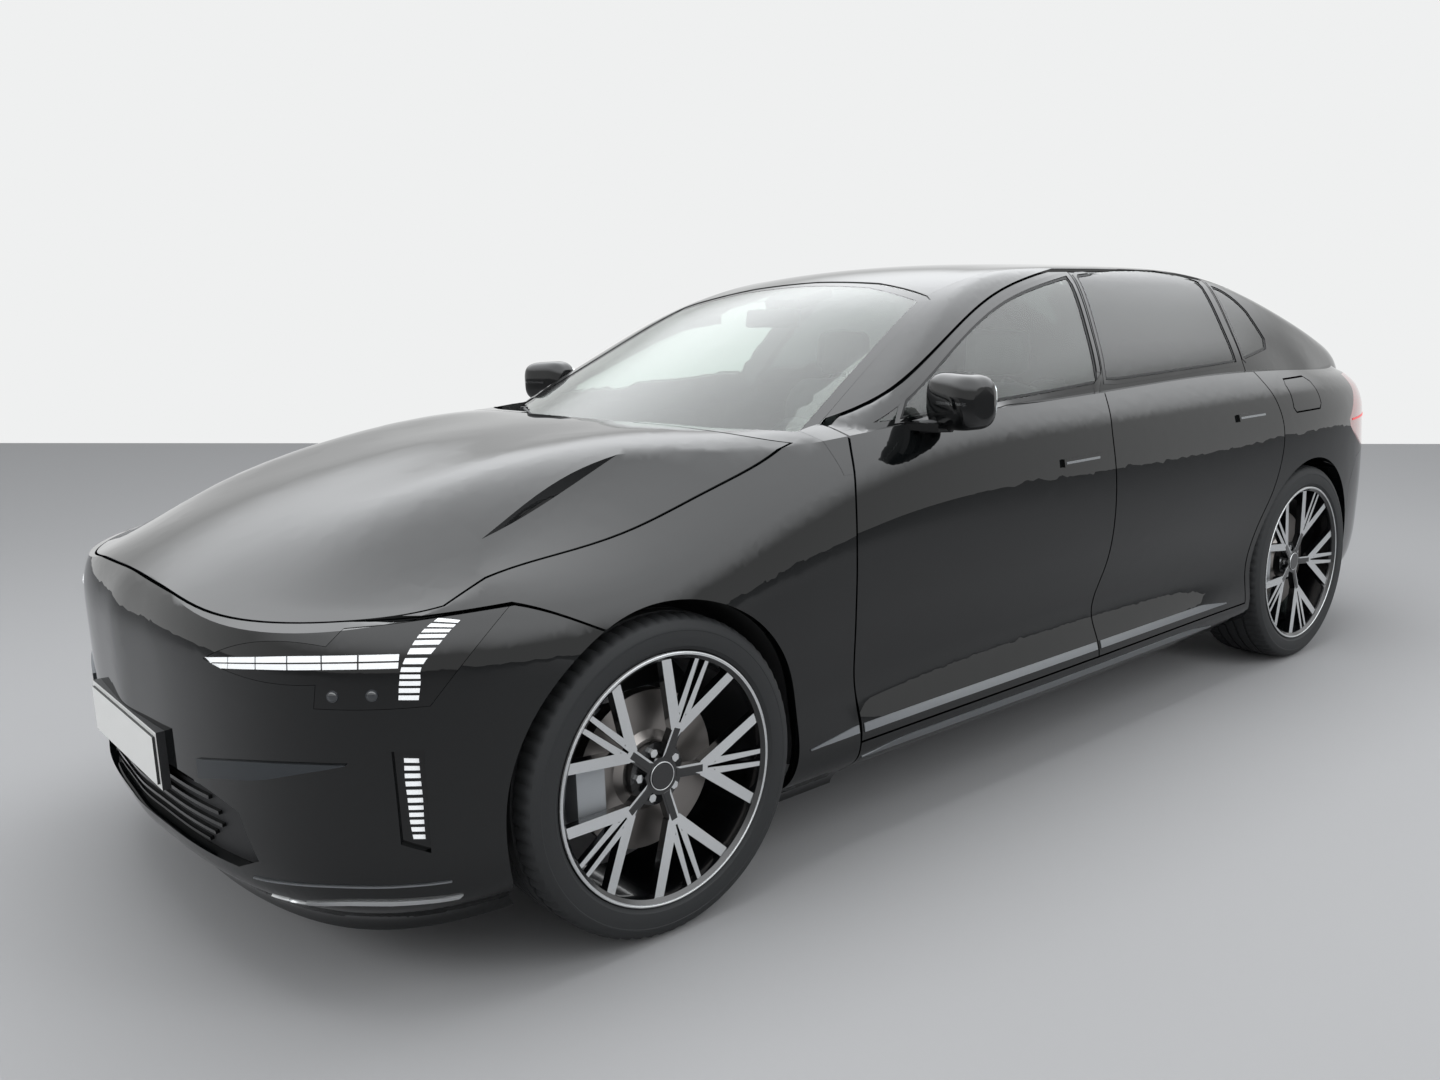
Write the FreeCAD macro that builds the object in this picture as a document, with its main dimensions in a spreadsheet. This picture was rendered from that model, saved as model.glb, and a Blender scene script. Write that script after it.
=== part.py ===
"""Large five-door fastback saloon car: body shell in panels, wheels, seats and running gear.

Millimetres.  +X is the car's left side, +Y points to the tail, +Z is up, Z = 0 is the ground.
"""
import FreeCAD
import Part
import Sketcher
import math
import os
from FreeCAD import Vector

doc = FreeCAD.newDocument("saloon_car")

# Driving dimensions

SIZES = [
    ("body_length", 5000), ("body_width", 1942), ("body_height", 1547), ("floor_clearance", 190),
    ("wheel_base", 3102), ("front_overhang", 900), ("track_width", 1660),
    ("tyre_radius", 377.5), ("tyre_width", 245), ("tyre_bore", 297.3),
    ("rim_flange_radius", 297), ("rim_inner_radius", 274),
    ("arch_radius", 410), ("steer_room", 4), ("skin_depth", 28), ("door_depth", 100), ("shut_gap", 6),
    ("disc_radius", 188), ("disc_thickness", 32),
    ("pack_length", 2000), ("pack_width", 1420), ("pack_height", 125),
    ("seat_width", 520), ("wheel_rim_radius", 182),
]

sheet = doc.addObject("Spreadsheet::Sheet", "Sizes")
for row, (alias, value) in enumerate(SIZES, 1):
    sheet.set("A%d" % row, alias)
    sheet.set("B%d" % row, str(value))
    sheet.setAlias("B%d" % row, alias)
doc.recompute()


def size(alias):
    return float(getattr(sheet, alias))


# the number plate stands proud of the nose by 10 mm
nose = -size("body_length") / 2 + 10
tail = size("body_length") / 2
front_axle = nose - 10 + size("front_overhang")
rear_axle = front_axle + size("wheel_base")
wheel_x = size("track_width") / 2
gap = size("shut_gap")
seat_gap = 0.3
skin = size("skin_depth")
deep = size("door_depth")


# Placing of the drawn shape: drawn at its first size, stretched between the axles and ends

def px(x):
    return x * size("body_width") / 1942


def py(y):
    marks = [(-2500, nose), (-1600, front_axle), (1502, rear_axle), (2500, tail)]
    k = 0 if y < -1600 else (1 if y < 1502 else 2)
    (a, u), (b, v) = marks[k], marks[k + 1]
    return u + (y - a) * (v - u) / (b - a)


def pz(z):
    low = size("floor_clearance")
    return low + (z - 190) * (size("body_height") - low) / (1547 - 190)


def place(x, y, z):
    return Vector(px(x), py(y), pz(z))


# Curves

def smooth(points):
    """A natural cubic curve through (t, value) points, as a function of t."""
    ts = [p[0] for p in points]
    vs = [p[1] for p in points]
    n = len(ts)
    gaps = [ts[i + 1] - ts[i] for i in range(n - 1)]
    low, diag, up, right = [0.0] * n, [1.0] * n, [0.0] * n, [0.0] * n
    for i in range(1, n - 1):
        low[i] = gaps[i - 1]
        diag[i] = 2 * (gaps[i - 1] + gaps[i])
        up[i] = gaps[i]
        right[i] = 6 * ((vs[i + 1] - vs[i]) / gaps[i] - (vs[i] - vs[i - 1]) / gaps[i - 1])
    for i in range(1, n):
        share = low[i] / diag[i - 1]
        diag[i] -= share * up[i - 1]
        right[i] -= share * right[i - 1]
    bend = [0.0] * n
    for i in range(n - 2, 0, -1):
        bend[i] = (right[i] - up[i] * bend[i + 1]) / diag[i]

    def value(t):
        if t <= ts[0]:
            slope = (vs[1] - vs[0]) / gaps[0] - gaps[0] * (2 * bend[0] + bend[1]) / 6
            return vs[0] + slope * (t - ts[0])
        if t >= ts[-1]:
            slope = (vs[-1] - vs[-2]) / gaps[-1] + gaps[-1] * (bend[-2] + 2 * bend[-1]) / 6
            return vs[-1] + slope * (t - ts[-1])
        k = max(i for i in range(n - 1) if ts[i] <= t)
        a = (ts[k + 1] - t) / gaps[k]
        b = (t - ts[k]) / gaps[k]
        curve = (a ** 3 - a) * bend[k] + (b ** 3 - b) * bend[k + 1]
        return a * vs[k] + b * vs[k + 1] + curve * gaps[k] ** 2 / 6
    return value


def net(grid, us, vs):
    """The B-spline surface through a grid of points, one row of the grid per value of us."""
    ribs = []
    for row in grid:
        rib = Part.BSplineCurve()
        rib.interpolate(Points=row, Parameters=vs)
        ribs.append(rib)
    columns = []
    for k in range(1, ribs[0].NbPoles + 1):
        column = Part.BSplineCurve()
        column.interpolate(Points=[rib.getPole(k) for rib in ribs], Parameters=us)
        columns.append(column)
    poles = [[c.getPole(k) for c in columns] for k in range(1, columns[0].NbPoles + 1)]
    surface = Part.BSplineSurface()
    surface.buildFromPolesMultsKnots(
        poles, columns[0].getMultiplicities(), ribs[0].getMultiplicities(),
        columns[0].getKnots(), ribs[0].getKnots(), False, False, 3, 3)
    return surface


# Lower body: an outline in plan, wrapped by ribs

OUTLINE = [
    (0, -2500), (260, -2486), (520, -2445), (735, -2355), (862, -2225), (928, -2060), (958, -1860),
    (966, -1600), (964, -900), (971, 0), (971, 1000), (971, 1502), (946, 1852), (893, 2100),
    (808, 2278), (675, 2392), (470, 2458), (235, 2491), (0, 2500)]

# rows of (height, inset) up each rib, at stations along the car
RIBS = [
    (-2500, [(205, 95), (225, 55), (255, 26), (290, 12), (330, 4), (430, 0), (560, 0), (650, 0), (730, 0)]),
    (-2080, [(190, 110), (212, 70), (240, 38), (280, 20), (330, 10), (430, 5), (560, 2), (640, 0), (710, 0)]),
    (-1600, [(190, 130), (215, 85), (245, 50), (290, 30), (330, 22), (420, 15), (550, 8), (630, 3), (695, 0)]),
    (-1000, [(190, 130), (215, 80), (245, 46), (290, 30), (330, 30), (420, 46), (570, 24), (700, 5), (800, 0)]),
    (800, [(190, 130), (215, 80), (245, 46), (290, 30), (330, 30), (420, 46), (570, 24), (700, 5), (830, 0)]),
    (1502, [(190, 130), (215, 85), (245, 50), (290, 30), (330, 22), (430, 15), (600, 8), (760, 2), (880, 0)]),
    (2100, [(230, 120), (250, 76), (280, 44), (320, 24), (370, 14), (470, 6), (620, 0), (780, 0), (900, 4)]),
    (2500, [(250, 110), (270, 70), (300, 42), (340, 24), (400, 10), (500, 0), (640, 0), (800, 8), (930, 26)]),
]
ROUND_HEIGHT = [(-2500, 150), (-2100, 165), (-1600, 190), (-1300, 225), (-1000, 250), (0, 270), (900, 270),
                (1502, 205), (2100, 160), (2500, 150)]
ROUND_DEPTH = [(-2500, 95), (-2100, 130), (-1600, 130), (-1000, 112), (0, 105), (900, 105), (1502, 100),
               (2100, 95), (2500, 90)]
ROUND_ANGLES = [12, 25, 38, 52, 66]

rib_heights = [smooth([(y, rows[k][0]) for y, rows in RIBS]) for k in range(9)]
rib_insets = [smooth([(y, rows[k][1]) for y, rows in RIBS]) for k in range(9)]
round_height = smooth(ROUND_HEIGHT)
round_depth = smooth(ROUND_DEPTH)
# the deepest layer stays nearer the skin round the nose and tail, where the outline is tight
deep_share = smooth([(-2600, 0.5), (-2500, 0.5), (-2250, 0.6), (-1900, 0.97), (-1500, 1), (1500, 1), (1850, 0.97),
                     (2250, 0.6), (2500, 0.5), (2600, 0.5)])
collar = smooth([(-2500, 90), (-2200, 110), (-1900, 200), (-1600, 300), (-1000, 320), (1000, 240), (2000, 130), (2500, 90)])


def wrap_rows(y, d):
    if d > 40:
        d *= deep_share(y)
    rows = [(rib_heights[k](y), rib_insets[k](y)) for k in range(9)]
    rows[0] = (150, rows[0][1] + 15)
    z0, i0 = rows[-1]
    rh, rd = round_height(y), round_depth(y)
    for angle in ROUND_ANGLES:
        a = math.radians(angle)
        rows.append((z0 + rh * math.sin(a), i0 + rd * (1 - math.cos(a))))
    a = math.radians(ROUND_ANGLES[-1])
    tz, ti = rh * math.cos(a), rd * math.sin(a)
    length = math.hypot(tz, ti)
    z1, i1 = rows[-1]
    full = collar(y)
    for reach in (full / 3, full):
        rows.append((z1 + tz / length * reach, i1 + ti / length * reach))
    moved = []
    for k, (z, i) in enumerate(rows):
        a, b = rows[max(0, k - 1)], rows[min(len(rows) - 1, k + 1)]
        dz, di = b[0] - a[0], b[1] - a[1]
        length = math.hypot(dz, di)
        moved.append((z, i + d) if k < 4 else (z - di / length * d, i + dz / length * d))
    return moved


def across(points):
    return [Vector(-p.x, p.y, p.z) for p in points]


def wrap_solid(d):
    """The body's sides, nose and tail moved inwards by d, closed by flat faces below and above."""
    ring = [Vector(x, y, 0) for x, y in OUTLINE + [(-x, y) for x, y in reversed(OUTLINE[1:-1])]]
    outline = Part.BSplineCurve()
    outline.interpolate(Points=ring, PeriodicFlag=True)
    last = outline.parameter(Vector(0, 2500, 0))
    knots = [k for k in outline.getKnots() if k <= last + 1e-6]
    params = []
    for a, b in zip(knots, knots[1:]):
        params += [a, (a + b) / 2]
    params.append(last)
    half = []
    for t in params:
        p = outline.value(t)
        along = outline.tangent(t)[0]
        half.append([place(p.x - along.y * i, p.y + along.x * i, z) for z, i in wrap_rows(p.y, d)])
    grid = [half[-4], half[-3], half[-2]] + [across(c) for c in reversed(half)] + half[1:]
    grid += [across(half[-2]), across(half[-3]), across(half[-4])]
    steps = [b - a for a, b in zip(params, params[1:])]
    us = [0.0]
    for step in steps[-3:] + steps[::-1] + steps + steps[-1:-4:-1]:
        us.append(us[-1] + step)
    middle = half[len(half) // 2]
    vs = [0.0]
    for p, q in zip(middle, middle[1:]):
        vs.append(vs[-1] + p.distanceToPoint(q))
    surface = net(grid, us, vs)
    for k in range(1, surface.NbUPoles + 1):
        pole = surface.getPole(k, 1)
        surface.setPole(k, 1, Vector(pole.x, pole.y, pz(150)))
    n = len(steps)
    faces, lows, lids = [], [], []
    for a, b in ((us[3], us[3 + n]), (us[3 + n], us[3 + 2 * n])):
        side = surface.copy()
        side.segment(a, b, vs[0], vs[-1])
        high = side.vIso(vs[-1])
        lifted = high.copy()
        for k, pole in enumerate(lifted.getPoles(), 1):
            lifted.setPole(k, Vector(pole.x, pole.y, pz(1800)))
        faces += [side.toShape(), Part.makeRuledSurface(high.toShape(), lifted.toShape())]
        lows.append(side.vIso(vs[0]).toShape())
        lids.append(lifted.toShape())
    faces += [Part.Face(Part.Wire(lows)), Part.Face(Part.Wire(lids))]
    shell = Part.makeShell(faces)
    shell.sewShape()
    solid = Part.makeSolid(Part.Shell(shell.Faces))
    if solid.Volume < 0:
        solid.reverse()
    return solid


# Bonnet, shoulders and rear deck: heights over the plan, as lengthwise curves at steps across

DECK = [
    (0, [(-2700, 720), (-2500, 838), (-2440, 868), (-2300, 930), (-2100, 1000), (-1900, 1050), (-1700, 1086),
         (-1500, 1108), (-1300, 1119), (-1100, 1112), (-900, 1085), (0, 1060), (900, 1070), (1500, 1090),
         (2000, 1115), (2300, 1122), (2440, 1126), (2700, 1130)]),
    (300, [(-2700, 710), (-2500, 822), (-2440, 852), (-2300, 912), (-2100, 988), (-1900, 1042), (-1700, 1080),
           (-1500, 1104), (-1300, 1117), (-1100, 1111), (-900, 1085), (0, 1060), (900, 1070), (1500, 1090),
           (2000, 1112), (2300, 1117), (2440, 1121), (2700, 1125)]),
    (550, [(-2700, 690), (-2500, 786), (-2440, 812), (-2300, 866), (-2100, 952), (-1900, 1018), (-1700, 1064),
           (-1500, 1096), (-1300, 1112), (-1100, 1108), (-900, 1088), (0, 1072), (900, 1080), (1500, 1092),
           (2000, 1105), (2300, 1110), (2440, 1112), (2700, 1115)]),
    (720, [(-2700, 690), (-2500, 778), (-2440, 796), (-2300, 832), (-2100, 888), (-1900, 944), (-1700, 998),
           (-1500, 1044), (-1300, 1078), (-1100, 1100), (-600, 1118), (0, 1124), (900, 1137), (1500, 1120),
           (2000, 1099), (2300, 1100), (2440, 1100), (2700, 1100)]),
    (860, [(-2700, 690), (-2500, 774), (-2440, 790), (-2300, 815), (-2100, 848), (-1900, 882), (-1700, 926),
           (-1500, 976), (-1300, 1022), (-1100, 1062), (-600, 1110), (0, 1120), (900, 1132), (1500, 1116),
           (2000, 1090), (2300, 1084), (2440, 1082), (2700, 1080)]),
    (1000, [(-2700, 690), (-2500, 770), (-2440, 785), (-2300, 805), (-2100, 830), (-1900, 850), (-1700, 880),
            (-1500, 925), (-1300, 975), (-1100, 1025), (-600, 1098), (0, 1112), (900, 1124), (1500, 1110),
            (2000, 1080), (2300, 1068), (2440, 1064), (2700, 1060)]),
]
deck_curves = [(x, smooth(row)) for x, row in DECK]


def deck_solid(d):
    """All that lies under the deck, lowered by d."""
    reach = [0, 150, 300, 450, 540, 600, 660, 720, 790, 860, 930, 1000]
    xs = [-x for x in reversed(reach[1:])] + reach
    ys = [-2650 + 5300 * k / 44 for k in range(45)]
    grid = []
    for y in ys:
        half = [(x, curve(y)) for x, curve in deck_curves]
        height = smooth([(-x, z) for x, z in reversed(half[1:])] + half)
        grid.append([place(x, y, height(x) - d) for x in xs])
    return net(grid, ys, xs).toShape().extrude(Vector(0, 0, -2000))


# Cabin above the belt line

roof_line = smooth([
    (-1400, 955), (-1250, 1034), (-1100, 1108), (-850, 1228), (-600, 1342), (-400, 1426), (-200, 1487),
    (0, 1527), (200, 1543), (400, 1547), (700, 1546), (1000, 1539), (1250, 1520), (1500, 1476), (1717, 1414),
    (1941, 1338), (2181, 1252), (2434, 1162), (2600, 1105)])
plan_bow = smooth([(-1400, 0.20), (-400, 0.18), (0, 0.06), (300, 0.0), (1000, -0.03), (1800, -0.10), (2500, -0.12)])
crown = smooth([(-1400, 0.06), (-400, 0.07), (300, 0.095), (1500, 0.10), (2500, 0.06)])
belt_half = smooth([(-1400, 835), (-900, 868), (0, 874), (900, 862), (1500, 822), (1800, 788), (2000, 758),
                    (2200, 715), (2300, 680), (2400, 620), (2500, 560)])
BELT_HEIGHT = 1100
CABIN_STATIONS = [-1330, -1270, -1180, -1080, -960, -830, -700, -560, -420, -280, -140, 0, 150, 300, 480, 680,
                  880, 1080, 1280, 1480, 1660, 1840, 2000, 2150, 2280, 2400]


def cabin_side(z, y):
    h = z - BELT_HEIGHT
    return belt_half(y) - (0.45 * h + 0.0005 * h * h if h > 0 else 0.15 * h)


def cabin_rib(y, d):
    slope = (roof_line(y + 5) - roof_line(y - 5)) / 10

    def top(x):
        return roof_line(y - plan_bow(y) * x * x / 1000) - crown(y) * x * x / 1000 - d * math.hypot(1, slope)

    def side(z):
        return cabin_side(z, y) - d * math.hypot(1, 0.45)
    z = 1300.0
    for _ in range(60):
        z = (z + top(side(z))) / 2
    corner = 60
    x_top = side(z) - corner
    z_side = z - corner
    points = [(x_top * k / 6, top(x_top * k / 6)) for k in range(7)]
    for t in (0.2, 0.4, 0.6, 0.8):
        x = x_top * (1 - t) ** 2 + side(z) * 2 * t * (1 - t) + side(z_side) * t ** 2
        points.append((x, top(x_top) * (1 - t) ** 2 + z * 2 * t * (1 - t) + z_side * t ** 2))
    for k in range(5):
        low = z_side - 150 * k
        points.append((side(low), low))
    return [place(x, y, height) for x, height in points]


def cabin_solid(d):
    """The cabin above z = 1000, moved inwards by d."""
    grid = []
    for y in CABIN_STATIONS:
        half = cabin_rib(y, d)
        grid.append(across(reversed(half[1:])) + half)
    middle = grid[len(grid) // 2]
    vs = [0.0]
    for p, q in zip(middle, middle[1:]):
        vs.append(vs[-1] + p.distanceToPoint(q))
    solid = net(grid, CABIN_STATIONS, vs).toShape().extrude(Vector(0, 0, -1500))
    return solid.common(box(-1200, 1200, -1400, 2600, 1000 - d, 1800))


# Cutting tools

def box(x0, x1, y0, y1, z0, z1):
    a, b = place(x0, y0, z0), place(x1, y1, z1)
    return Part.makeBox(b.x - a.x, b.y - a.y, b.z - a.z, a)


def is_corner(a, p, b):
    """True where an outline turns sharply at p, or turns from a long straight run into a short one."""
    turn = math.degrees((p - a).getAngle(b - p))
    lengths = sorted(((p - a).Length, (b - p).Length))
    return turn > 30 or (turn > 4 and lengths[1] > 3 * lengths[0])


def loop(points, straight=False):
    """A flat face inside the points: its edge is a smooth curve except at the corners."""
    if straight:
        return Part.Face(Part.makePolygon(points + points[:1]))
    n = len(points)
    corners = [k for k in range(n) if is_corner(points[k - 1], points[k], points[(k + 1) % n])]
    edges = []
    for start, stop in zip(corners, corners[1:] + [corners[0] + n]):
        run = [points[k % n] for k in range(start, stop + 1)]
        if len(run) == 2:
            edges.append(Part.makeLine(*run))
        else:
            curve = Part.BSplineCurve()
            curve.interpolate(run)
            edges.append(curve.toShape())
    return Part.Face(Part.Wire(edges))


def side_prism(outline, x0=300, x1=1100, straight=False):
    """A (y, z) outline drawn in side view, carried across from x0 to x1."""
    points = [place(x0, y, z) for y, z in outline]
    return loop(points, straight).extrude(Vector(px(x1) - px(x0), 0, 0))


def plan_prism(outline, z0=100, z1=1700, straight=False):
    """An (x, y) outline drawn in plan, carried up from z0 to z1."""
    points = [place(x, y, z0) for x, y in outline]
    return loop(points, straight).extrude(Vector(0, 0, pz(z1) - pz(z0)))


def corner_prism(outline, near=900, far=2600):
    """An (s, z) outline drawn on the upright plane that faces the front left corner."""
    r = math.sqrt(0.5)
    shift = Vector(px(860) - 860, py(-2200) + 2200, 0)
    points = [Vector((s + near) * r, (s - near) * r, pz(z)) + shift for s, z in outline]
    return loop(points).extrude(Vector((far - near) * r, (near - far) * r, 0))


def grown(outline, by):
    """The outline moved outwards by `by` along the normals of its edges."""
    area = sum(a[0] * b[1] - b[0] * a[1] for a, b in zip(outline, outline[1:] + outline[:1]))
    sign = 1 if area > 0 else -1
    n = len(outline)
    result = []
    for k in range(n):
        a, p, b = outline[k - 1], outline[k], outline[(k + 1) % n]
        u = (p[0] - a[0], p[1] - a[1])
        v = (b[0] - p[0], b[1] - p[1])
        lu, lv = math.hypot(*u), math.hypot(*v)
        nu = (u[1] / lu * sign, -u[0] / lu * sign)
        nv = (v[1] / lv * sign, -v[0] / lv * sign)
        s = 1 + nu[0] * nv[0] + nu[1] * nv[1]
        result.append((p[0] + by * (nu[0] + nv[0]) / s, p[1] + by * (nu[1] + nv[1]) / s))
    return result


def tube_x(x0, x1, y, z, radius):
    return Part.makeCylinder(radius, x1 - x0, Vector(x0, y, z), Vector(1, 0, 0))


def mirrored(shape):
    return shape.mirror(Vector(0, 0, 0), Vector(1, 0, 0))


def add(name, shape):
    """A free-form piece."""
    piece = doc.addObject("Part::Feature", name)
    piece.Label = name
    piece.Shape = shape
    pieces.append(piece)
    return piece


pieces = []

# Solids of the whole body at each depth

lower = {d: wrap_solid(d).common(deck_solid(d)) for d in (0, skin, 34, deep)}
cabin = {d: cabin_solid(d) for d in (-12, 0, 2.7, 3, 8, 12, skin, 34, 40, deep)}
whole = {d: lower[d].fuse(cabin[d]) for d in (0, skin, 34, deep)}

# Outlines in side view (y, z)

FRONT_DOOR = [
    (-962, 298), (-962, 420), (-985, 560), (-1000, 720), (-986, 930), (-925, 1075), (-905, 1108), (-722, 1174),
    (-428, 1302), (-82, 1428), (188, 1484), (412, 1511), (250, 1180), (203, 1120), (146, 1013), (139, 892),
    (141, 672), (120, 348), (117, 298)]
REAR_DOOR = [
    (123, 298), (126, 348), (147, 672), (145, 892), (152, 1013), (209, 1120), (256, 1180), (418, 1511),
    (771, 1527), (1010, 1519), (1288, 1474), (1198, 1165), (1206, 1060), (1236, 950), (1238, 860), (1216, 770),
    (1180, 692), (1116, 600), (1074, 500), (1058, 400), (1064, 298)]
FRONT_GLASS = [(-815, 1112), (-700, 1154), (-421, 1279), (-77, 1404), (191, 1459), (380, 1486), (232, 1188),
               (212, 1148), (-332, 1128)]
REAR_GLASS = [(262, 1150), (278, 1188), (430, 1488), (771, 1503), (1010, 1496), (1236, 1460), (1150, 1164)]
QUARTER_GLASS = [(1222, 1170), (1308, 1440), (1400, 1408), (1470, 1340), (1496, 1232), (1462, 1196)]
FRONT_DOOR_INNER = [(-905, 345), (-905, 440), (-930, 570), (-940, 720), (-930, 900), (-880, 1040), (-842, 1072),
                    (110, 1072), (84, 892), (84, 672), (64, 345)]
REAR_DOOR_INNER = [(178, 345), (200, 672), (198, 892), (206, 1072), (1130, 1072), (1165, 950), (1165, 870),
                   (1140, 780), (1075, 690), (1020, 590), (990, 480), (985, 345)]

# Outlines in plan (x, y), left half
BONNET_EDGE = [(0, -2442), (180, -2440), (461, -2414), (640, -2342), (752, -2252), (822, -2155), (846, -2080),
               (826, -2020), (800, -1900), (794, -1700), (800, -1545), (808, -1373), (818, -1188), (806, -1080),
               (700, -1150), (400, -1195), (0, -1210)]
WINDSCREEN = [(0, -1172), (400, -1150), (650, -1085), (760, -1010), (592, -285), (560, -262), (300, -196),
              (0, -178)]
ROOF = [(0, -170), (300, -188), (560, -254), (566, 300), (560, 700), (548, 978), (0, 978)]
TAILGATE = [(0, 986), (548, 986), (578, 1300), (610, 1700), (640, 2000), (652, 2200), (640, 2560), (0, 2560)]
REAR_SCREEN = [(0, 1110), (478, 1110), (505, 1300), (536, 1700), (552, 1960), (520, 2110), (300, 2150), (0, 2160)]


def both(outline, by=0.0):
    """A left half outline joined to its mirror image, then grown."""
    rest = [(-x, y) for x, y in reversed(outline) if x > 0]
    return grown(outline + rest, by)


# the front arches leave room for the turned tyres' shoulders
front_arch_radius = size("arch_radius") + size("steer_room")
arch_front = tube_x(px(510), 1200, front_axle, size("tyre_radius"), front_arch_radius)
arch_rear = tube_x(px(650), 1200, rear_axle, size("tyre_radius"), size("arch_radius"))


def skin_of(tool, depth=skin):
    """The part of the body's skin inside the tool."""
    return tool.common(whole[0]).cut(whole[depth])


# Doors

def pane(tool):
    return tool.common(cabin[3]).cut(cabin[8])


def door(outline, inner, window):
    flange = skin_of(side_prism(outline, 598))
    core = side_prism(inner, 850, straight=True).common(lower[0]).cut(lower[deep])
    return flange.fuse(core).cut(side_prism(window)).removeSplitter()


front_door = door(FRONT_DOOR, FRONT_DOOR_INNER, FRONT_GLASS).cut(plan_prism(both(WINDSCREEN, 34), 900))
front_door = front_door.cut(box(598, 800, -1010, -840, 1030, 1100))
rear_door = door(REAR_DOOR, REAR_DOOR_INNER, REAR_GLASS)
front_pane = pane(side_prism(grown(FRONT_GLASS, -0.3)))
rear_pane = pane(side_prism(grown(REAR_GLASS, -0.3)))
quarter_pane = pane(side_prism(grown(QUARTER_GLASS, -0.3)))

# Outlines of the outer panels in side view (y, z)
FRONT_APERTURE = [(-905, 345), (-905, 440), (-930, 570), (-940, 720), (-930, 900), (-880, 1040), (-812, 1112),
                  (-700, 1154), (-421, 1279), (-77, 1404), (191, 1459), (376, 1484), (228, 1188), (190, 1120),
                  (124, 1072), (98, 892), (98, 672), (78, 345)]
REAR_APERTURE = [(178, 345), (200, 672), (198, 892), (206, 1072), (262, 1150), (430, 1486), (771, 1503), (1010, 1496),
                 (1236, 1460), (1150, 1164), (1142, 1072), (1179, 950), (1179, 870), (1154, 780), (1089, 690),
                 (1034, 590), (1004, 480), (999, 345)]
REAR_BUMPER = [(1600, 100), (1600, 500), (1890, 520), (1905, 640), (1990, 742), (2150, 765), (2700, 765), (2700, 100)]
TAIL_LAMP = [(2040, 1068), (1846, 905), (1864, 876), (2010, 800), (2080, 776), (2700, 776), (2700, 1068)]
CHARGE_FLAP = [(1352, 975), (1545, 975), (1562, 992), (1568, 1070), (1545, 1088), (1368, 1088), (1350, 1070),
               (1338, 990)]
FENDER = [(-968, 100), (-1600, 100), (-1600, 700), (-1790, 776), (-1866, 814), (-1945, 844), (-2300, 844),
          (-2300, 1250), (-700, 1250), (-700, 1000), (-968, 1000)]
FRONT_BUMPER = [(-1600, 100), (-1600, 694), (-1788, 769), (-1864, 807), (-1944, 837), (-2300, 837), (-2400, 1000),
                (-2700, 1000), (-2700, 100)]

# Outlines on the plane that faces the front corner (s, z)
HEADLAMP = [(-1378, 750), (-1290, 788), (-1076, 800), (-1046, 830), (-873, 837), (-754, 837), (-885, 674),
            (-1106, 680), (-1098, 728), (-1238, 728)]
LOW_LAMP = [(-962, 588), (-903, 586), (-906, 366), (-960, 392)]

# Outline seen from the front (x, z), left half
INTAKE = [(0, 296), (520, 296), (600, 330), (560, 430), (420, 462), (0, 462)]


def front_prism(outline, y0=-2700, y1=-2300):
    points = [place(x, y0, z) for x, z in outline]
    return loop(points).extrude(Vector(0, py(y1) - py(y0), 0))


bonnet_tool = plan_prism(both(BONNET_EDGE), 760)
bonnet_hole = plan_prism(both(BONNET_EDGE, gap), 754)
screen_hole = plan_prism(both(WINDSCREEN, 0.3), 900)
roof_hole = plan_prism(both(ROOF, 0.3), 1200, straight=True)
tailgate_hole = plan_prism(both(TAILGATE, gap), 770)
rear_pane = rear_pane.cut(roof_hole)

# Body side: pillars, sill and rear quarter in one pressing
region = box(300, 1100, -1000, 2520, 190, 1600)
body_side = region.common(whole[0]).cut(whole[deep])
body_side = body_side.cut(box(300, 1100, -1100, -962, 100, 1000))
for hole in (screen_hole, roof_hole, tailgate_hole, arch_rear):
    body_side = body_side.cut(hole)
for outline in (FRONT_DOOR, REAR_DOOR, CHARGE_FLAP):
    body_side = body_side.cut(side_prism(grown(outline, gap), 570).cut(whole[34]))
body_side = body_side.cut(side_prism(grown(TAIL_LAMP, 0.3)).cut(whole[34]))
for outline in (FRONT_APERTURE, REAR_APERTURE):
    body_side = body_side.cut(side_prism(grown(outline, gap), straight=True))
body_side = body_side.cut(side_prism(QUARTER_GLASS)).cut(side_prism(grown(REAR_BUMPER, 1)))



# Rubber buffers that the doors and the flap close on
def side_buffer(y, z, radius):
    disc = tube_x(px(800), px(1000), py(y), pz(z), radius).common(lower[skin]).cut(lower[34])
    disc.translate(Vector(-seat_gap, 0, 0))
    return disc


for y, z, radius in ((112, 760, 9), (1198, 955, 9), (1450, 1030, 8)):
    body_side = body_side.fuse(side_buffer(y, z, radius))

fender = skin_of(side_prism(FENDER)).cut(arch_front).cut(bonnet_hole)
fender = fender.cut(side_prism(grown(FRONT_DOOR, gap))).cut(corner_prism(grown(HEADLAMP, 1)))
fender = fender.cut(box(300, 1200, -1001, -600, 999.7, 1300)).cut(screen_hole)

charge_flap = skin_of(side_prism(CHARGE_FLAP, 880))
tail_lamp = side_prism(TAIL_LAMP).common(whole[0]).cut(whole[34]).cut(tailgate_hole)

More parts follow.
